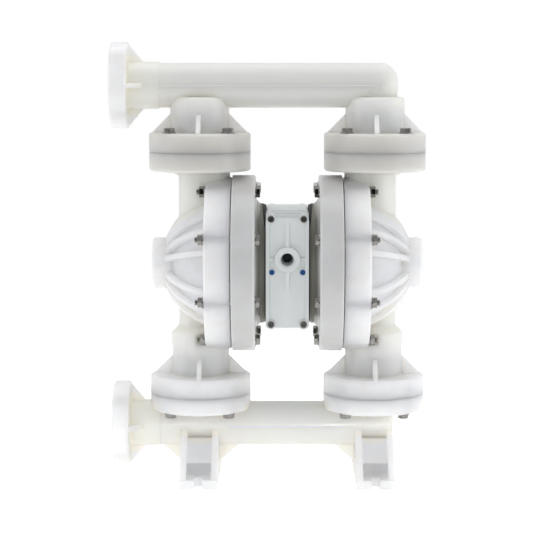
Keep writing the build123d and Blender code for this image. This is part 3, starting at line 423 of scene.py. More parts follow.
# Stainless socket screws, tumbled after heading: satin, so that their flat tops show an even grey
STAINLESS_TUMBLED = Surface(
    name="stainless_steel_tumbled", colour="#9A9895", tint="#5F5D5B",
    patch_mm=2.0, grain_mm=0.4, grain_depth_mm=0.03, edge_mm=0.3,
    roughness=0.32, uneven=0.1, metallic=1.0,
)
# Powder coat on a die casting: satin light grey with the coat's orange peel
POWDER_COAT = Surface(
    name="powder_coated_casting", colour="#E6EAE9", tint="#DFE3E2",
    patch_mm=35.0, grain_mm=2.2, grain_depth_mm=0.06, edge_mm=1.0,
    roughness=0.42, uneven=0.07, coat=0.1,
)
# Moulded nitrile rubber: black, dull, with a dusty bloom
RUBBER = Surface(
    name="nitrile_rubber_moulded", colour="#161617", tint="#232323",
    patch_mm=12.0, grain_mm=0.7, grain_depth_mm=0.04, edge_mm=0.5,
    roughness=0.62, uneven=0.08, ior=1.52,
)
# Machined fluoropolymer: white, waxy, with fine turning lines round Z
FLUOROPOLYMER = Surface(
    name="fluoropolymer_turned", colour="#F2F1EC", tint="#E9E8E2",
    patch_mm=25.0, grain_mm=0.6, grain_depth_mm=0.02, edge_mm=0.5,
    roughness=0.4, uneven=0.06, stretch=(1, 1, 4), ior=1.38,
)
# Moulded blue nylon: clean colour with a soft gloss
BLUE_NYLON = Surface(
    name="blue_nylon_moulded", colour="#3567A6", tint="#2B5A96",
    patch_mm=6.0, grain_mm=0.5, grain_depth_mm=0.02, edge_mm=0.4,
    roughness=0.33, uneven=0.05, ior=1.53,
)
# Turned aluminium plates: bright, with tool marks that run across the rod's axis
TURNED_ALUMINIUM = Surface(
    name="aluminium_turned", colour="#BFC0C2", tint="#A9ABAE",
    patch_mm=18.0, grain_mm=0.6, grain_depth_mm=0.03, edge_mm=0.5,
    roughness=0.34, uneven=0.1, metallic=1.0, stretch=(6, 1, 1),
)
# Hard anodised valve metal: darker grey, matt
HARD_ANODISED = Surface(
    name="aluminium_hard_anodised", colour="#85888C", tint="#777A7E",
    patch_mm=14.0, grain_mm=0.4, grain_depth_mm=0.02, edge_mm=0.4,
    roughness=0.46, uneven=0.06, metallic=1.0,
)
# Knurled brass inserts, sunk in the plastic: warm, with a coarse grain
BRASS = Surface(
    name="brass_knurled", colour="#B99A5B", tint="#A5864B",
    patch_mm=6.0, grain_mm=0.8, grain_depth_mm=0.05, edge_mm=0.3,
    roughness=0.36, uneven=0.1, metallic=1.0,
)
# Black velvet on the flags that the steel mirrors
VELVET = Surface(
    name="black_velvet", colour="#0A0A0A", tint="#101010",
    patch_mm=50.0, grain_mm=1.0, grain_depth_mm=0.1, edge_mm=1.0,
    roughness=0.9, uneven=0.05, ior=1.3,
)


@dataclass(frozen=True)
class GasketWithPaintedShade:
    """Black rubber against the block, and farther out a grey that is painted shade of the air cap's inner
    face.

    Attributes:
        name: the material's name.
        rubber: colour of the face.
        painted_cone_shade: colour of the painted shade beyond the rubber, where the air cap's inner face lies
            in shade.
        block_mm: distance of the block's side from the pump's middle.
        face_mm: thickness of the rubber.
        crown_mm: how much wider the black band grows towards its top.
        crown_from_mm: height at which it starts to widen.
        crown_to_mm: height of its top.
        dust_mm: size of the dusty bloom's grain.
        dust_depth_mm: height of that grain.
    """

    name: str = "nitrile_faced_gasket_moulded"
    rubber: str = "#161617"
    painted_cone_shade: str = "#8B8980"
    block_mm: float = 37.4
    face_mm: float = 2.4
    crown_mm: float = 5.0
    crown_from_mm: float = 456.0
    crown_to_mm: float = 491.0
    dust_mm: float = 0.7
    dust_depth_mm: float = 0.04

    def material(self) -> bpy.types.Material:
        """Builds the material."""
        material, tree, place = new_material(self.name)
        axes = add_node(tree, "ShaderNodeSeparateXYZ", None, {0: place}).outputs
        edge = add_node(
            tree,
            "ShaderNodeMapRange",
            {
                "From Min": self.crown_from_mm * MM,
                "From Max": self.crown_to_mm * MM,
                "To Min": (self.block_mm + self.face_mm) * MM,
                "To Max": (self.block_mm + self.face_mm + self.crown_mm) * MM,
            },
            {"Value": axes[2]},
        )
        outwards = add_node(tree, "ShaderNodeMath", None, {0: axes[0]}, operation="ABSOLUTE")
        places = {0: outwards.outputs[0], 1: edge.outputs["Result"]}
        beyond = add_node(tree, "ShaderNodeMath", None, places, operation="GREATER_THAN")
        dust = add_node(
            tree, "ShaderNodeTexNoise", {"Scale": per_metre(self.dust_mm), "Detail": 3.0}, {"Vector": place}
        ).outputs["Fac"]
        # painted shade: grey beyond the black rubber's edge
        colours = {6: linear(self.rubber), 7: linear(self.painted_cone_shade)}
        body = add_node(tree, "ShaderNodeMix", colours, {0: beyond.outputs[0]}, data_type="RGBA")
        skin = add_node(
            tree, "ShaderNodeBump", {"Strength": 0.5, "Distance": self.dust_depth_mm * MM}, {"Height": dust}
        )
        gloss = add_node(tree, "ShaderNodeMapRange", {"To Min": 0.54, "To Max": 0.7}, {"Value": dust})
        shader = add_node(
            tree,
            "ShaderNodeBsdfPrincipled",
            {"IOR": 1.52},
            {
                "Base Color": body.outputs[2],
                "Roughness": gloss.outputs["Result"],
                "Normal": skin.outputs["Normal"],
            },
        )
        add_node(tree, "ShaderNodeOutputMaterial", None, {"Surface": shader.outputs[0]})
        return material


@dataclass(frozen=True)
class LightTable:
    """Backlit acrylic sheet under the pump: plain, white and matt.

    Attributes:
        name: the material's name.
        colour: the sheet's colour.
        glow: strength of the light that it gives to the pump.
        seen_glow: how much brighter it is for the camera, as the backdrop is.
        frost_mm: size of the frosting's grain.
        frost_depth_mm: height of that grain.
    """

    name: str = "light_table_acrylic"
    colour: str = "#F4F4F4"
    glow: float = 0.3
    seen_glow: float = 0.65
    frost_mm: float = 3.0
    frost_depth_mm: float = 0.03

    def material(self) -> bpy.types.Material:
        """Builds the material."""
        material, tree, place = new_material(self.name)
        frosting = add_node(
            tree, "ShaderNodeTexNoise", {"Scale": per_metre(self.frost_mm), "Detail": 2.0}, {"Vector": place}
        )
        skin = add_node(
            tree,
            "ShaderNodeBump",
            {"Strength": 0.3, "Distance": self.frost_depth_mm * MM},
            {"Height": frosting.outputs["Fac"]},
        )
        seen = add_node(tree, "ShaderNodeLightPath").outputs["Is Camera Ray"]
        glows = {"To Min": self.glow, "To Max": self.glow + self.seen_glow}
        strength = add_node(tree, "ShaderNodeMapRange", glows, {"Value": seen})
        shader = add_node(
            tree,
            "ShaderNodeBsdfPrincipled",
            {"Base Color": linear(self.colour), "Roughness": 0.7, "Emission Color": linear("#FFFFFF")},
            {"Normal": skin.outputs["Normal"], "Emission Strength": strength.outputs["Result"]},
        )
        add_node(tree, "ShaderNodeOutputMaterial", None, {"Surface": shader.outputs[0]})
        return material


class Palette:
    """All finishes of the pump, each made once."""

    def __init__(self) -> None:
        """Builds every material."""
        self.plastic = NaturalPolypropylene().material()
        # pure white plastic for the mould seams, a painted highlight along the pipes
        self.seam_highlight = NaturalPolypropylene(
            name="natural_polypropylene_flash", cool="#FFFFFF", cloudy="#FFFFFF", warm="#FFFFFF", depth_mm=1.0
        ).material()
        # the air caps get a darker copy of the plastic: its greyer colours are painted shade
        self.shaded_ring_plastic = NaturalPolypropylene(
            name="natural_polypropylene_thick",
            cool="#D8D9D9",
            cloudy="#D3D2D0",
            warm="#DBD8D0",
            depth_mm=8.0,
            cone_mm=54.0,
        ).material()
        self.stainless = STAINLESS.material()
        self.tumbled = STAINLESS_TUMBLED.material()
        self.casting = POWDER_COAT.material()
        self.rubber = RUBBER.material()
        # the gasket's grey beyond its black rubber is painted shade
        self.gasket = GasketWithPaintedShade().material()
        self.fluoropolymer = FLUOROPOLYMER.material()
        self.blue = BLUE_NYLON.material()
        self.plate = TURNED_ALUMINIUM.material()
        self.valve = HARD_ANODISED.material()
        self.brass = BRASS.material()
        self.floor = LightTable().material()
        self.velvet = VELVET.material()


# Modelling


def clear_selection() -> None:
    """Deselects every object."""
    bpy.ops.object.select_all(action="DESELECT")


def make_active(obj: Piece) -> None:
    """Selects one object alone and makes it active."""
    clear_selection()
    obj.select_set(True)
    bpy.context.view_layer.objects.active = obj


def settle(obj: Piece, name: str) -> Piece:
    """Names a piece and puts its place into its mesh.

    Args:
        obj: the piece.
        name: its name.

    Returns:
        The same piece.
    """
    make_active(obj)
    bpy.ops.object.transform_apply(location=True, rotation=True, scale=True)
    obj.name = name
    obj.data.name = name
    return obj


def turned(name: str, points: Profile, steps: int, sweep: float = 2 * math.pi) -> Piece:
    """Spins a half profile round Z into a closed shell.

    Args:
        name: the piece's name.
        points: radius and height of each profile point, in millimetres, from axis to axis or in a ring.
        steps: number of facets round the axis.
        sweep: how far it turns; a part turn of a ring gets its two ends closed.

    Returns:
        The new piece, centred on Z.
    """
    clear_selection()
    first = points[0]
    bpy.ops.mesh.primitive_plane_add(size=MM, location=(first[0] * MM, 0, first[1] * MM))
    obj = bpy.context.object
    bpy.ops.object.mode_set(mode="EDIT")
    bpy.ops.mesh.select_all(action="SELECT")
    bpy.ops.mesh.merge(type="CENTER")
    for (radius, height), (next_radius, next_height) in zip(points, points[1:]):
        step = ((next_radius - radius) * MM, 0, (next_height - height) * MM)
        bpy.ops.mesh.extrude_region_move(TRANSFORM_OT_translate={"value": step})
    bpy.ops.mesh.select_all(action="SELECT")
    bpy.ops.mesh.spin(steps=steps, angle=sweep, center=(0, 0, 0), axis=(0, 0, 1))
    bpy.ops.mesh.select_all(action="SELECT")
    bpy.ops.mesh.remove_doubles(threshold=1e-6)
    if sweep < 2 * math.pi:
        bpy.ops.mesh.fill_holes(sides=0)
    bpy.ops.mesh.normals_make_consistent(inside=False)
    bpy.ops.object.mode_set(mode="OBJECT")
    return settle(obj, name)


def cut_with(piece: Piece, tool: Piece) -> None:
    """Cuts one piece with another and removes the tool.

    Args:
        piece: the piece that stays.
        tool: the piece that is used up.
    """
    make_active(piece)
    change = piece.modifiers.new("shape", "BOOLEAN")
    change.operation = "DIFFERENCE"
    change.object = tool
    change.solver = "EXACT"
    bpy.ops.object.modifier_apply(modifier=change.name)
    bpy.data.objects.remove(tool, do_unlink=True)


def hexagon(name: str, flats: float, low: float, high: float, chamfers: Sequence[int] = ()) -> Piece:
    """Models a hexagonal prism whose corners are turned off at its ends.

    Args:
        name: the piece's name.
        flats: width across flats, in millimetres.
        low: height of the bottom, in millimetres.
        high: height of the top, in millimetres.
        chamfers: 1 for the top end and -1 for the bottom end.

    Returns:
        The prism, centred on Z, with a corner towards X.
    """
    clear_selection()
    bpy.ops.mesh.primitive_cylinder_add(
        vertices=6,
        radius=flats / math.sqrt(3) * MM,
        depth=(high - low) * MM,
        location=(0, 0, (low + high) / 2 * MM),
        rotation=(0, 0, math.radians(30)),
    )
    obj = bpy.context.object
    bpy.ops.object.mode_set(mode="EDIT")
    face_radius = CHAMFER_SHARE * flats * MM
    # the cutting plane's normal leans outwards by 30 degrees from the prism's axis
    lean, upright = 0.5, math.sqrt(0.75)
    for end in chamfers:
        height = (high if end > 0 else low) * MM
        for turn in range(CHAMFER_CUTS):
            angle = math.radians(360 / CHAMFER_CUTS * turn)
            x, y = math.cos(angle), math.sin(angle)
            bpy.ops.mesh.select_all(action="SELECT")
            bpy.ops.mesh.bisect(
                plane_co=(face_radius * x, face_radius * y, height),
                plane_no=(lean * x, lean * y, end * upright),
                use_fill=True,
                clear_outer=True,
            )
    bpy.ops.object.mode_set(mode="OBJECT")
    return settle(obj, name)


def thread_profile(radius: float, low: float, high: float, pitch: float, depth: float) -> Profile:
    """Gives the outline of a threaded length, from low to high.

    Args:
        radius: crest radius, in millimetres.
        low: height where the thread starts.
        high: height where it ends.
        pitch: distance between crests.
        depth: depth of the grooves.

    Returns:
        The outline's points, as radius and height.
    """
    starts = [low + turn * pitch for turn in range(int((high - low) / pitch))]
    points = [(radius - down * depth, start + on * pitch) for start in starts for on, down in THREAD_TURN]
    return [*points, (radius, high)]


def washer(bolt_radius: float, rim: float, top: float) -> Piece:
    """Models one punched washer, rounded on its upper edge.

    Args:
        bolt_radius: radius of the bolt that it sits on, in millimetres.
        rim: its outer radius.
        top: its thickness.

    Returns:
        The washer, from zero up along Z.
    """
    bore = bolt_radius + FIT
    edge = [(rim, top - 0.5), (rim - 0.15, top - 0.15), (rim - 0.5, top)]
    return turned("washer", [(bore, 0), (rim, 0), *edge, (bore, top), (bore, 0)], HEAD_FACETS)


def joined(name: str, parts: Sequence[Piece]) -> Piece:
    """Joins several meshes into one piece.

    Args:
        name: the piece's name.
        parts: the meshes.

    Returns:
        The joined piece.
    """
    clear_selection()
    for part in parts:
        part.select_set(True)
    bpy.context.view_layer.objects.active = parts[0]
    if len(parts) > 1:
        bpy.ops.object.join()
    return settle(parts[0], name)


def spread(name: str, model: Piece, places: Sequence[Matrix]) -> Piece:
    """Copies a model to many places, each copy with its own mesh, and joins the copies.

    Args:
        name: the joined piece's name.
        model: what is copied; it is used up.
        places: where each copy goes, in metres.

    Returns:
        The joined piece.
    """
    copies = []
    for place in places:
        copy = model.copy()
        copy.data = model.data.copy()
        copy.data.transform(place)
        bpy.context.scene.collection.objects.link(copy)
        copies.append(copy)
    bpy.data.objects.remove(model, do_unlink=True)
    return joined(name, copies)


def finish_piece(
    obj: Piece,
    material: bpy.types.Material,
    stands_for: Sequence[str] = (),
    body: str = "",
    crease: float = 25.0,
) -> None:
    """Shades a new piece, gives it its material, hides the CAD nodes that it replaces and, where a body is
    given, attaches it.

    Args:
        obj: the piece.
        material: its material.
        stands_for: the CAD nodes that it replaces.
        body: the CAD body that it rides on, or none to leave it unattached.
        crease: the angle above which its edges stay sharp, in degrees.
    """
    make_active(obj)
    bpy.ops.object.shade_smooth_by_angle(angle=math.radians(crease))
    obj.data.materials.clear()
    obj.data.materials.append(material)
    if stands_for:
        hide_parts(*stands_for)
    if body:
        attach(obj, body)
        LOG.info("%s rides on %s", obj.name, body)


@dataclass
class Layout:
    """Sizes that several sub-assemblies share, in millimetres."""

    rod_height: float = 386.5
    stack_x: float = STACK_X
    suction_joint: float = 152.9
    discharge_joint: float = DISCHARGE_JOINT
    body: str = "pump_body"
    rod_body: str = "rod_assembly"

    def about_rod(self, x: float, radius: float, degrees: float, way: int) -> Matrix:
        """Gives the place of a piece on a circle round the rod, with its Z along X.

        Args:
            x: place along the rod.
            radius: radius of the circle.
            degrees: angle on the circle, from the back upwards.
            way: 1 if the piece's Z points to +X, -1 to -X.

        Returns:
            The matrix, in metres.
        """
        angle = math.radians(degrees)
        move = Vector((x, radius * math.cos(angle), self.rod_height + radius * math.sin(angle)))
        turn = Matrix.Rotation(way * math.pi / 2, 4, "Y")
        return Matrix.Translation(move * MM) @ Matrix.Rotation(angle, 4, "X") @ turn

    def about_stack(self, side: int, height: float, radius: float, degrees: float, way: int) -> Matrix:
        """Gives the place of a piece on a circle round a valve stack.

        Args:
            side: -1 for the left stack and 1 for the right one.
            height: height above the floor.
            radius: radius of the circle.
            degrees: angle on the circle.
            way: 1 if the piece's Z points up, -1 down.

        Returns:
            The matrix, in metres.
        """
        angle = math.radians(degrees)
        move = Vector((side * self.stack_x + radius * math.cos(angle), radius * math.sin(angle), height))
        flip = Matrix.Rotation(0 if way > 0 else math.pi, 4, "X")
        return Matrix.Translation(move * MM) @ Matrix.Rotation(angle, 4, "Z") @ flip

    def facing(self, side: int, x: float, reach: float, height: float) -> Matrix:
        """Gives the place of a piece whose Z points to the front or to the back.

        Args:
            side: -1 for the front and 1 for the back.
            x: place across the pump.
            reach: distance from the pump's middle plane.
            height: height above the floor.

        Returns:
            The matrix, in metres.
        """
        turn = Matrix.Rotation(-side * math.pi / 2, 4, "X")
        return Matrix.Translation(Vector((x, side * reach, height)) * MM) @ turn


@dataclass
class SubAssembly:
    """What every sub-assembly shares: the pump's layout and its finishes."""

    layout: Layout
    palette: Palette


@dataclass
class ChamberFasteners(SubAssembly):
    """Through bolts that clamp each fluid cap to its air cap, with nuts and washers."""

    circle_radius: float = 142.5
    count: int = 8
    first_degrees: float = 22.5
    air_face: float = 56.4
    liquid_face: float = 145.2
    flats: float = 17.0
    head_height: float = 6.5
    nut_height: float = 8.0
    countersink: float = 0.8
    thread_beyond: float = 5.0
    thread_length: float = 20.0
    thread_depth: float = 0.7
    tip_chamfer: float = 1.0
    washer_thickness: float = 2.0
    washer_radius: float = 10.4
    shank_radius: float = 5.0
    pitch: float = 1.5

    def places(self, x: float, way: int) -> list[Matrix]:
        """Places on both sides of the pump.

        Args:
            x: distance from the pump's middle.
            way: 1 if the piece's Z points outwards, -1 inwards.

        Returns:
            One matrix for each fastener.
        """
        angles = [self.first_degrees + 360 / self.count * index for index in range(self.count)]
        return [
            self.layout.about_rod(hand.value * x, self.circle_radius, angle, hand.value * way)
            for hand in Hand
            for angle in angles
        ]

    def bolt(self) -> Piece:
        """Models one bolt, with its head below zero and its thread at the far end."""
        radius, tip = self.shank_radius, self.tip_chamfer
        length = self.liquid_face - self.air_face + 2 * self.washer_thickness
        length += self.nut_height + self.thread_beyond
        head = hexagon("head", self.flats, -self.head_height, 0, (-1,))
        run = (length - self.thread_length, length - tip)
        thread = thread_profile(radius, *run, self.pitch, self.thread_depth)
        outline = [(0, -OVERLAP), (radius, -OVERLAP), *thread, (radius - tip, length), (0, length)]
        return joined("chamber_bolt", [head, turned("shank", outline, SHANK_FACETS)])

    def nut(self) -> Piece:
        """Models one nut with a countersunk bore."""
        top, sink, bore = self.nut_height, self.countersink, self.shank_radius + FIT
        mouth = bore + (sink + OVERCUT)
        lower = [(0, -OVERCUT), (mouth, -OVERCUT), (bore, sink)]
        upper = [(bore, top - sink), (mouth, top + OVERCUT), (0, top + OVERCUT)]
        nut = hexagon("nut", self.flats, 0, top, (-1, 1))
        cut_with(nut, turned("bore", lower + upper, SHANK_FACETS))
        return nut

    def build(self) -> None:
        """Makes the bolts, nuts and washers of both chambers."""
        steel, body, thickness = self.palette.stainless, self.layout.body, self.washer_thickness
        bolts = spread("chamber_bolts_rolled", self.bolt(), self.places(self.air_face - thickness, 1))
        nuts = spread("chamber_nuts_pressed", self.nut(), self.places(self.liquid_face + thickness, 1))
        rims = self.places(self.liquid_face, 1) + self.places(self.air_face, -1)
        one = washer(self.shank_radius, self.washer_radius, thickness)
        washers = spread("chamber_washers_punched", one, rims)
        for piece, node in ((bolts, "chamber_bolts"), (nuts, "chamber_nuts"), (washers, "chamber_washers")):
            finish_piece(piece, steel, [node], body)


@dataclass
class FlangeFasteners(SubAssembly):
    """Screws that clamp the manifolds to the fluid caps, with washers."""

    circle_radius: float = 73.0
    count: int = 4
    first_degrees: float = 45.0
    flats: float = 18.0
    head_height: float = 7.5
    washer_thickness: float = 2.0
    washer_radius: float = 12.0
    shank_radius: float = 5.0
    discharge_flange: float = 34.5
    suction_flange: float = 29.8
    grip_beyond: float = 19.0

    def places(self, stage: Stage) -> list[Matrix]:
        """Gives the places of one level's washers, with Z out of the manifold.

        Args:
            stage: the level.

        Returns:
            One matrix for each screw.
        """
        if stage is Stage.DISCHARGE:
            height, way = self.layout.discharge_joint + self.discharge_flange, 1
        else:
            height, way = self.layout.suction_joint - self.suction_flange, -1
        angles = [self.first_degrees + 360 / self.count * index for index in range(self.count)]
        return [
            self.layout.about_stack(hand.value, height, self.circle_radius, angle, way)
            for hand in Hand
            for angle in angles
        ]

    def screw(self, flange: float) -> Piece:
        """Models one screw on its washer's seat.

        Args:
            flange: thickness of the flange that it passes through.

        Returns:
            The screw, with the flange's face at zero.
        """
        radius, seat, end = self.shank_radius, self.washer_thickness, -(flange + self.grip_beyond)
        head = hexagon("head", self.flats, seat, seat + self.head_height, (1,))
        outline = [(0, end), (radius, end), (radius, seat + OVERLAP), (0, seat + OVERLAP)]
        return joined("flange_screw", [head, turned("shank", outline, SHANK_FACETS)])

    def build(self) -> None:
        """Makes the screws and washers of both manifolds."""
        upper, lower = self.places(Stage.DISCHARGE), self.places(Stage.SUCTION)
        screws = joined(
            "flange_screws_rolled",
            [
                spread("discharge_screws", self.screw(self.discharge_flange), upper),
                spread("suction_screws", self.screw(self.suction_flange), lower),
            ],
        )
        one = washer(self.shank_radius, self.washer_radius, self.washer_thickness)
        washers = spread("flange_washers_punched", one, upper + lower)
        for piece, node in ((screws, "flange_bolts"), (washers, "flange_washers")):
            finish_piece(piece, self.palette.stainless, [node], self.layout.body)


@dataclass
class CoverScrews(SubAssembly):
    """Socket head screws of the two covers."""

    x: float = 28.3
    rise: float = 89.5
    drop: float = 94.0
    reach: float = 122.0
    head_radius: float = 5.8
    head_height: float = 5.0
    head_chamfer: float = 0.6
    shank_radius: float = 3.0
    shank_length: float = 42.0
    socket_flats: float = 5.0
    socket_depth: float = 3.0

    def screw(self) -> Piece:
        """Models one screw, with its seat at zero and its head above."""
        top, rim, shank, chamfer = self.head_height, self.head_radius, self.shank_radius, self.head_chamfer
        shaft = [(0, -self.shank_length), (shank, -self.shank_length), (shank, 0)]
        head = [(rim, 0), (rim, top - chamfer), (rim - chamfer, top), (0, top)]
        screw = turned("screw", shaft + head, HEAD_FACETS)
        cut_with(screw, hexagon("socket", self.socket_flats, top - self.socket_depth, top + OVERCUT))
        return screw

    def build(self) -> None:
        """Makes the screws of the front and the back cover."""
        heights = [self.layout.rod_height + offset for offset in (self.rise, -self.drop)]
        for node, side in (("inlet_cover_screws", -1), ("exhaust_cover_screws", 1)):
            places = [
                self.layout.facing(side, x, self.reach, height)
                for x in (-self.x, self.x)
                for height in heights
            ]
            piece = spread(node + "_socket_head", self.screw(), places)
            finish_piece(piece, self.palette.tumbled, [node], self.layout.body)


@dataclass
class PortPlugs(SubAssembly):
    """Blue plugs in the inlet cover's two pilot ports."""

    x: float = 26.8
    drop: float = 3.2
    reach: float = 122.5
    radius: float = 4.8
    chamfer: float = 0.6
    depth: float = 10.2
    socket_flats: float = 4.5
    socket_depth: float = 3.0

    def build(self) -> None:
        """Makes both plugs, each with its hexagonal socket."""
        radius, chamfer = self.radius, self.chamfer
        shaft = [(0, -self.depth), (radius, -self.depth)]
        top = [(radius, -chamfer), (radius - chamfer, 0), (0, 0)]
        plug = turned("plug", shaft + top, HEAD_FACETS)
        cut_with(plug, hexagon("socket", self.socket_flats, -self.socket_depth, OVERCUT))
        height = self.layout.rod_height - self.drop
        places = [self.layout.facing(-1, x, self.reach, height) for x in (-self.x, self.x)]
        piece = spread("port_plugs_socketed", plug, places)
        finish_piece(piece, self.palette.blue, ["port_plugs"], self.layout.body)


@dataclass
class PortThreads(SubAssembly):
    """Pipe threads cut in the air inlet and the exhaust port."""

    inlet_rise: float = 19.0
    inlet_radius: float = 11.9
    inlet_pitch: float = 1.814
    exhaust_radius: float = 16.2
    exhaust_pitch: float = 2.209
    crest: float = 0.7
    groove_share: float = 0.8
    clearance: float = 0.01
    inner_reach: float = 100.5
    inlet_reach: float = 124.4
    exhaust_reach: float = 121.5

    def ring(self, radius: float, pitch: float, length: float) -> Piece:
        """Models one threaded ring that lines a port.

        Args:
            radius: radius of the port's bore.
            pitch: distance between crests.
            length: threaded length.

        Returns:
            The ring, from zero up along Z.
        """
        wall, depth = radius - self.clearance, self.groove_share * self.crest
        grooves = thread_profile(radius - self.crest, 0, length, pitch, -depth)
        return turned("ring", [(wall, 0), *grooves, (wall, length), (wall, 0)], PORT_FACETS)

    def build(self) -> None:
        """Makes the threads of both ports."""
        ports = (
            ("air_inlet_thread", -1, self.inlet_rise, self.inlet_radius, self.inlet_pitch, self.inlet_reach),
            ("exhaust_port_thread", 1, 0.0, self.exhaust_radius, self.exhaust_pitch, self.exhaust_reach),
        )
        for name, side, rise, radius, pitch, reach in ports:
            ring = self.ring(radius, pitch, reach - self.inner_reach)
            place = self.layout.facing(side, 0, self.inner_reach, self.layout.rod_height + rise)
            piece = spread(name, ring, [place])
            finish_piece(piece, self.palette.casting, body=self.layout.body)


@dataclass
class MouldSeams(SubAssembly):
    """Parting lines that the two halves of the mould left along the pipes, in pure white plastic as a painted
    highlight.
    """

    pipe_radius: float = 39.7
    width: float = 2.6
    narrowing: float = 0.3
    sunk: float = 0.5
    proud: float = 0.7
    ridge_bevel: float = 0.25
    ridge_crease: float = 50.0
    discharge_run: tuple[float, float] = (-250.0, 165.0)
    suction_run: tuple[float, float] = (-104.0, 104.0)

    def bead(self, start: float, end: float) -> Piece:
        """Models one bead along X, with its ridge towards Z.

        Args:
            start: where it begins, in millimetres.
            end: where it ends.

        Returns:
            The bead.
        """
        clear_selection()
        bpy.ops.mesh.primitive_plane_add(size=MM, location=((start + end) / 2 * MM, 0, -self.sunk * MM))
        obj = bpy.context.object
        bpy.ops.object.mode_set(mode="EDIT")
        bpy.ops.mesh.select_all(action="SELECT")
        bpy.ops.transform.resize(value=(end - start, self.width, 1))
        rise = (0, 0, (self.sunk + self.proud) * MM)
        bpy.ops.mesh.extrude_region_move(TRANSFORM_OT_translate={"value": rise})
        bpy.ops.transform.resize(value=(1, self.narrowing, 1))
        bpy.ops.mesh.bevel(offset=self.ridge_bevel * MM, segments=2)
        bpy.ops.mesh.select_all(action="SELECT")
        bpy.ops.mesh.fill_holes(sides=0)
        bpy.ops.mesh.normals_make_consistent(inside=False)
        bpy.ops.object.mode_set(mode="OBJECT")
        return settle(obj, "bead")

    def build(self) -> None:
        """Makes the lines of both pipes, in front and behind."""
        low, high = PIPE_HEIGHTS
        seam_highlight, body = self.palette.seam_highlight, self.layout.body
        for name, height, run in (
            ("discharge_pipe_seams", high, self.discharge_run),
            ("suction_pipe_seams", low, self.suction_run),
        ):
            places = [self.layout.facing(side, 0, self.pipe_radius, height) for side in (-1, 1)]
            piece = spread(name, self.bead(*run), places)
            finish_piece(piece, seam_highlight, (), body, self.ridge_crease)


@dataclass
class Diaphragms(SubAssembly):
    """Diaphragms, each made of equal sectors, with a wave between the bead at the rim and the middle.
    """

    sectors: int = 8
    sector_facets: int = 8
    crease: float = 40.0
    split: float = 98.6
    half_thickness: float = 3.0
    bore: float = 8.1
    wave_start: float = 78.0
    wave_end: float = 108.0
    wave_height: float = 11.0
    rim: float = 126.8
    clamped_from: float = 99.0
    driven_to: float = 77.5
    wave_steps: int = 12

    def wave(self, offset: float) -> Profile:
        """Gives one side of the wave, from the plates outwards.

        Args:
            offset: distance of that side from the middle of the rubber.

        Returns:
            Radius and place along the rod of each point.
        """
        chord = (self.wave_end - self.wave_start) / 2
        radius = (chord**2 + self.wave_height**2) / (2 * self.wave_height)
        half_angle = math.asin(chord / radius)
        middle = self.wave_start + chord
        points = []
        for step in range(self.wave_steps + 1):
            angle = half_angle * (2 * step / self.wave_steps - 1)
            height = self.wave_height - radius + radius * math.cos(angle)
            points.append((middle + radius * math.sin(angle), self.split + offset + height))
        return points

    def sector(self) -> Piece:
        """Models one sector, from X towards minus Y round Z."""
        low, high = self.split - self.half_thickness, self.split + self.half_thickness
        inner, outer = self.wave(-self.half_thickness), self.wave(self.half_thickness)
        back = [(self.bore, low), *inner, (self.rim, low)]
        front = [(self.rim, high), *reversed(outer), (self.bore, high)]
        return turned("sector", [*back, *front, back[0]], self.sector_facets, 2 * math.pi / self.sectors)

    def build(self) -> None:
        """Makes both diaphragms."""
        for hand in Hand:
            node = f"{hand.name.lower()}_diaphragm"
            for index in range(self.sectors):
                place = self.layout.about_rod(0, 0, 360 / self.sectors * index, hand.value)
                piece = spread(f"{node}_sector_{index + 1}", self.sector(), [place])
                finish_piece(piece, self.palette.rubber, [node], crease=self.crease)
                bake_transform(piece)
                LOG.info("%s bends between %s and %s", piece.name, self.layout.body, self.layout.rod_body)


@dataclass
class CadFinishes:
    """Finishes of the pieces whose CAD shape stays."""

    palette: Palette
    plastic: Sequence[str] = ("discharge_manifold", "suction_manifold", "left_fluid_cap", "right_fluid_cap")
    shaded_ring_plastic: Sequence[str] = ("left_air_cap", "right_air_cap")
    casting: Sequence[str] = ("centre_block", "inlet_cover", "exhaust_cover")
    rubber: Sequence[str] = ("rod_seals", "seat_seals")
    gaskets: Sequence[str] = ("left_block_gasket", "right_block_gasket")
    stainless: Sequence[str] = ("diaphragm_rod", "air_cap_screws")
    plates: Sequence[str] = ("left_inner_plate", "right_inner_plate")
    sleeves: Sequence[str] = ("main_valve_sleeve", "pilot_valve_sleeve")
    spools: Sequence[str] = ("main_valve_spool", "pilot_valve_spool")
    white: Sequence[str] = ("left_outer_plate", "right_outer_plate", "rod_bushes")
    brass: Sequence[str] = ("flange_inserts",)

    def build(self) -> None:
        """Gives every CAD node its finish."""
        palette = self.palette
        seats_and_balls = [
            f"{hand.name.lower()}_{stage.value}_{piece}"
            for stage in Stage
            for hand in Hand
            for piece in ("seat", "ball")
        ]
        for finish, nodes in (
            (palette.plastic, self.plastic),
            (palette.shaded_ring_plastic, self.shaded_ring_plastic),
            (palette.casting, self.casting),
            (palette.rubber, self.rubber),
            (palette.gasket, self.gaskets),
            (palette.stainless, self.stainless),
            (palette.plate, self.plates),
            (palette.valve, (*self.sleeves, *self.spools)),
            (palette.fluoropolymer, (*self.white, *seats_and_balls)),
            (palette.brass, self.brass),
        ):
            for node in nodes:
                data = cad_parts[node].data
                data.materials.clear()
                data.materials.append(finish)
                LOG.info("%s keeps its CAD shape", node)


@dataclass(frozen=True)
class SoftBox:
    """One flat studio light.

    Attributes:
        name: the light's name.
        place: where its middle is, in millimetres.
        size: width and height, in millimetres.
        power: watts.
        aim_height: height on the pump's axis that it points to, in millimetres.
        spread: angle of its beam in degrees, narrowed by a honeycomb grid.
    """

    name: str
    place: tuple[float, float, float]
    size: tuple[float, float]
    power: float
    aim_height: float = 400.0
    spread: float = 180.0


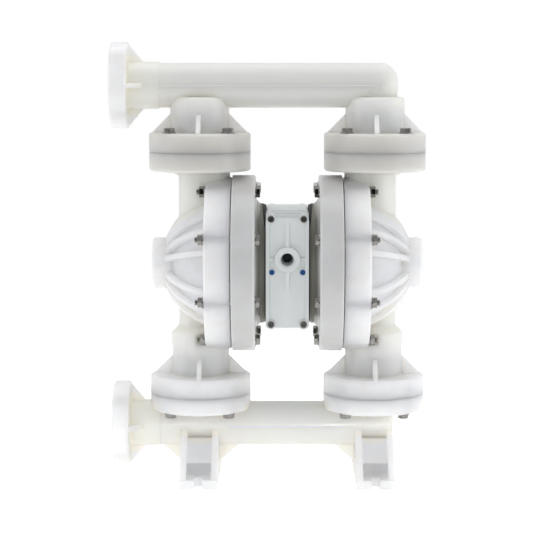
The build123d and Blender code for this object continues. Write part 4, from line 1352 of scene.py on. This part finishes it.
@dataclass
class Studio:
    """Camera, soft light and a plain pale floor, with lengths in millimetres."""

    palette: Palette
    camera_place: tuple[float, float, float] = (-8.16, -3217.4, 745.0)
    pitch_down: float = 0.113
    yaw: float = 0.009
    focal_px: float = 1800.75
    frame_px: float = 533.0
    sensor_width: float = 36.0
    view_depth: float = 50000.0
    room_colour: str = "#FBFCFF"
    front_light: float = 0.55
    back_light: float = 0.8
    light_turn: tuple[float, float] = (-0.3, 0.4)
    floor_size: float = 3000.0
    lights: Sequence[SoftBox] = (
        SoftBox("key_softbox", (-1500.0, -2200.0, 2300.0), (1800.0, 1800.0), 6.0),
        SoftBox("right_softbox", (2300.0, -500.0, 700.0), (2400.0, 2400.0), 15.0),
        SoftBox("left_softbox", (-2300.0, -500.0, 700.0), (2400.0, 2400.0), 8.5),
        SoftBox("top_softbox", (0.0, 200.0, 2600.0), (2000.0, 2000.0), 13.0),
        SoftBox("strip_softbox", (0.0, -3000.0, 1900.0), (900.0, 120.0), 1.2),
        SoftBox("low_strip_with_grid", (0.0, -2400.0, 60.0), (700.0, 60.0), 0.115, 10.0, 9.0),
    )
    flag_aim: float = 400.0
    flags: Sequence[tuple[str, tuple[float, float, float], float]] = (
        ("camera_flag", (0.0, -4200.0, 500.0), 3000.0),
        ("low_left_flag", (-2600.0, -2300.0, 0.0), 1400.0),
        ("low_right_flag", (2600.0, -2300.0, 0.0), 1400.0),
    )

    def build_camera(self) -> None:
        """Sets the camera where the photograph was taken from."""
        camera = bpy.data.cameras.new("photo_camera")
        camera.sensor_width = self.sensor_width
        camera.lens = self.focal_px / self.frame_px * self.sensor_width
        camera.clip_end = self.view_depth * MM
        holder = bpy.data.objects.new("photo_camera", camera)
        holder.location = Vector(self.camera_place) * MM
        holder.rotation_euler = (math.pi / 2 - self.pitch_down, 0, self.yaw)
        bpy.context.scene.collection.objects.link(holder)
        bpy.context.scene.camera = holder

    def build_lights(self) -> None:
        """Sets up the softboxes."""
        for box in self.lights:
            light = bpy.data.lights.new(box.name, "AREA")
            light.shape = "RECTANGLE"
            light.size = box.size[0] * MM
            light.size_y = box.size[1] * MM
            light.energy = box.power
            light.spread = math.radians(box.spread)
            holder = bpy.data.objects.new(box.name, light)
            holder.location = Vector(box.place) * MM
            aim = Vector((0, 0, box.aim_height)) * MM - holder.location
            holder.rotation_euler = aim.to_track_quat("-Z", "Y").to_euler()
            bpy.context.scene.collection.objects.link(holder)

    def build_room(self) -> None:
        """Surrounds the pump with white walls, brighter behind it, and a plain white backdrop."""
        world = bpy.data.worlds.new("white_surroundings")
        world.use_nodes = True
        tree = world.node_tree
        tree.nodes.clear()
        way = add_node(tree, "ShaderNodeTexCoord").outputs["Generated"]
        axes = add_node(tree, "ShaderNodeSeparateXYZ", None, {0: way})
        front, back = self.light_turn
        strength = add_node(
            tree,
            "ShaderNodeMapRange",
            {"From Min": front, "From Max": back, "To Min": self.front_light, "To Max": self.back_light},
            {"Value": axes.outputs[1]},
            interpolation_type="SMOOTHSTEP",
        )
        lit = {"Strength": strength.outputs["Result"]}
        room = add_node(tree, "ShaderNodeBackground", {"Color": linear(self.room_colour)}, lit)
        backdrop = add_node(tree, "ShaderNodeBackground", {"Color": linear("#FFFFFF"), "Strength": 1.0})
        seen = add_node(tree, "ShaderNodeLightPath").outputs["Is Camera Ray"]
        mixed = add_node(
            tree, "ShaderNodeMixShader", None, {0: seen, 1: room.outputs[0], 2: backdrop.outputs[0]}
        )
        add_node(tree, "ShaderNodeOutputWorld", None, {"Surface": mixed.outputs[0]})
        bpy.context.scene.world = world
        bpy.context.scene.view_settings.view_transform = "Standard"

    def build_floor(self) -> None:
        """Lays the floor."""
        clear_selection()
        bpy.ops.mesh.primitive_plane_add(size=self.floor_size * MM, location=(0, 0, 0))
        floor = settle(bpy.context.object, "studio_floor")
        floor.data.materials.append(self.palette.floor)

    def build_flags(self) -> None:
        """Hangs dark flags round the camera, which only mirroring surfaces show."""
        for name, place, size in self.flags:
            clear_selection()
            aim = Vector((0, 0, self.flag_aim)) - Vector(place)
            bpy.ops.mesh.primitive_plane_add(
                size=size * MM, location=Vector(place) * MM, rotation=aim.to_track_quat("Z", "Y").to_euler()
            )
            flag = settle(bpy.context.object, name)
            flag.data.materials.append(self.palette.velvet)
            flag.visible_camera = False
            flag.visible_diffuse = False
            flag.visible_transmission = False
            flag.visible_shadow = False

    def build(self) -> None:
        """Builds the whole studio."""
        self.build_camera()
        self.build_lights()
        self.build_room()
        self.build_floor()
        self.build_flags()


def main() -> None:
    """Dresses the frame, sub-assembly by sub-assembly."""
    logging.basicConfig(level=logging.INFO, format="%(name)s: %(message)s")
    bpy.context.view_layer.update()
    palette, layout = Palette(), Layout()
    CadFinishes(palette).build()
    ChamberFasteners(layout, palette).build()
    FlangeFasteners(layout, palette).build()
    CoverScrews(layout, palette).build()
    PortPlugs(layout, palette).build()
    PortThreads(layout, palette).build()
    MouldSeams(layout, palette).build()
    Diaphragms(layout, palette).build()
    Studio(palette).build()


if __name__ == "__main__":
    main()
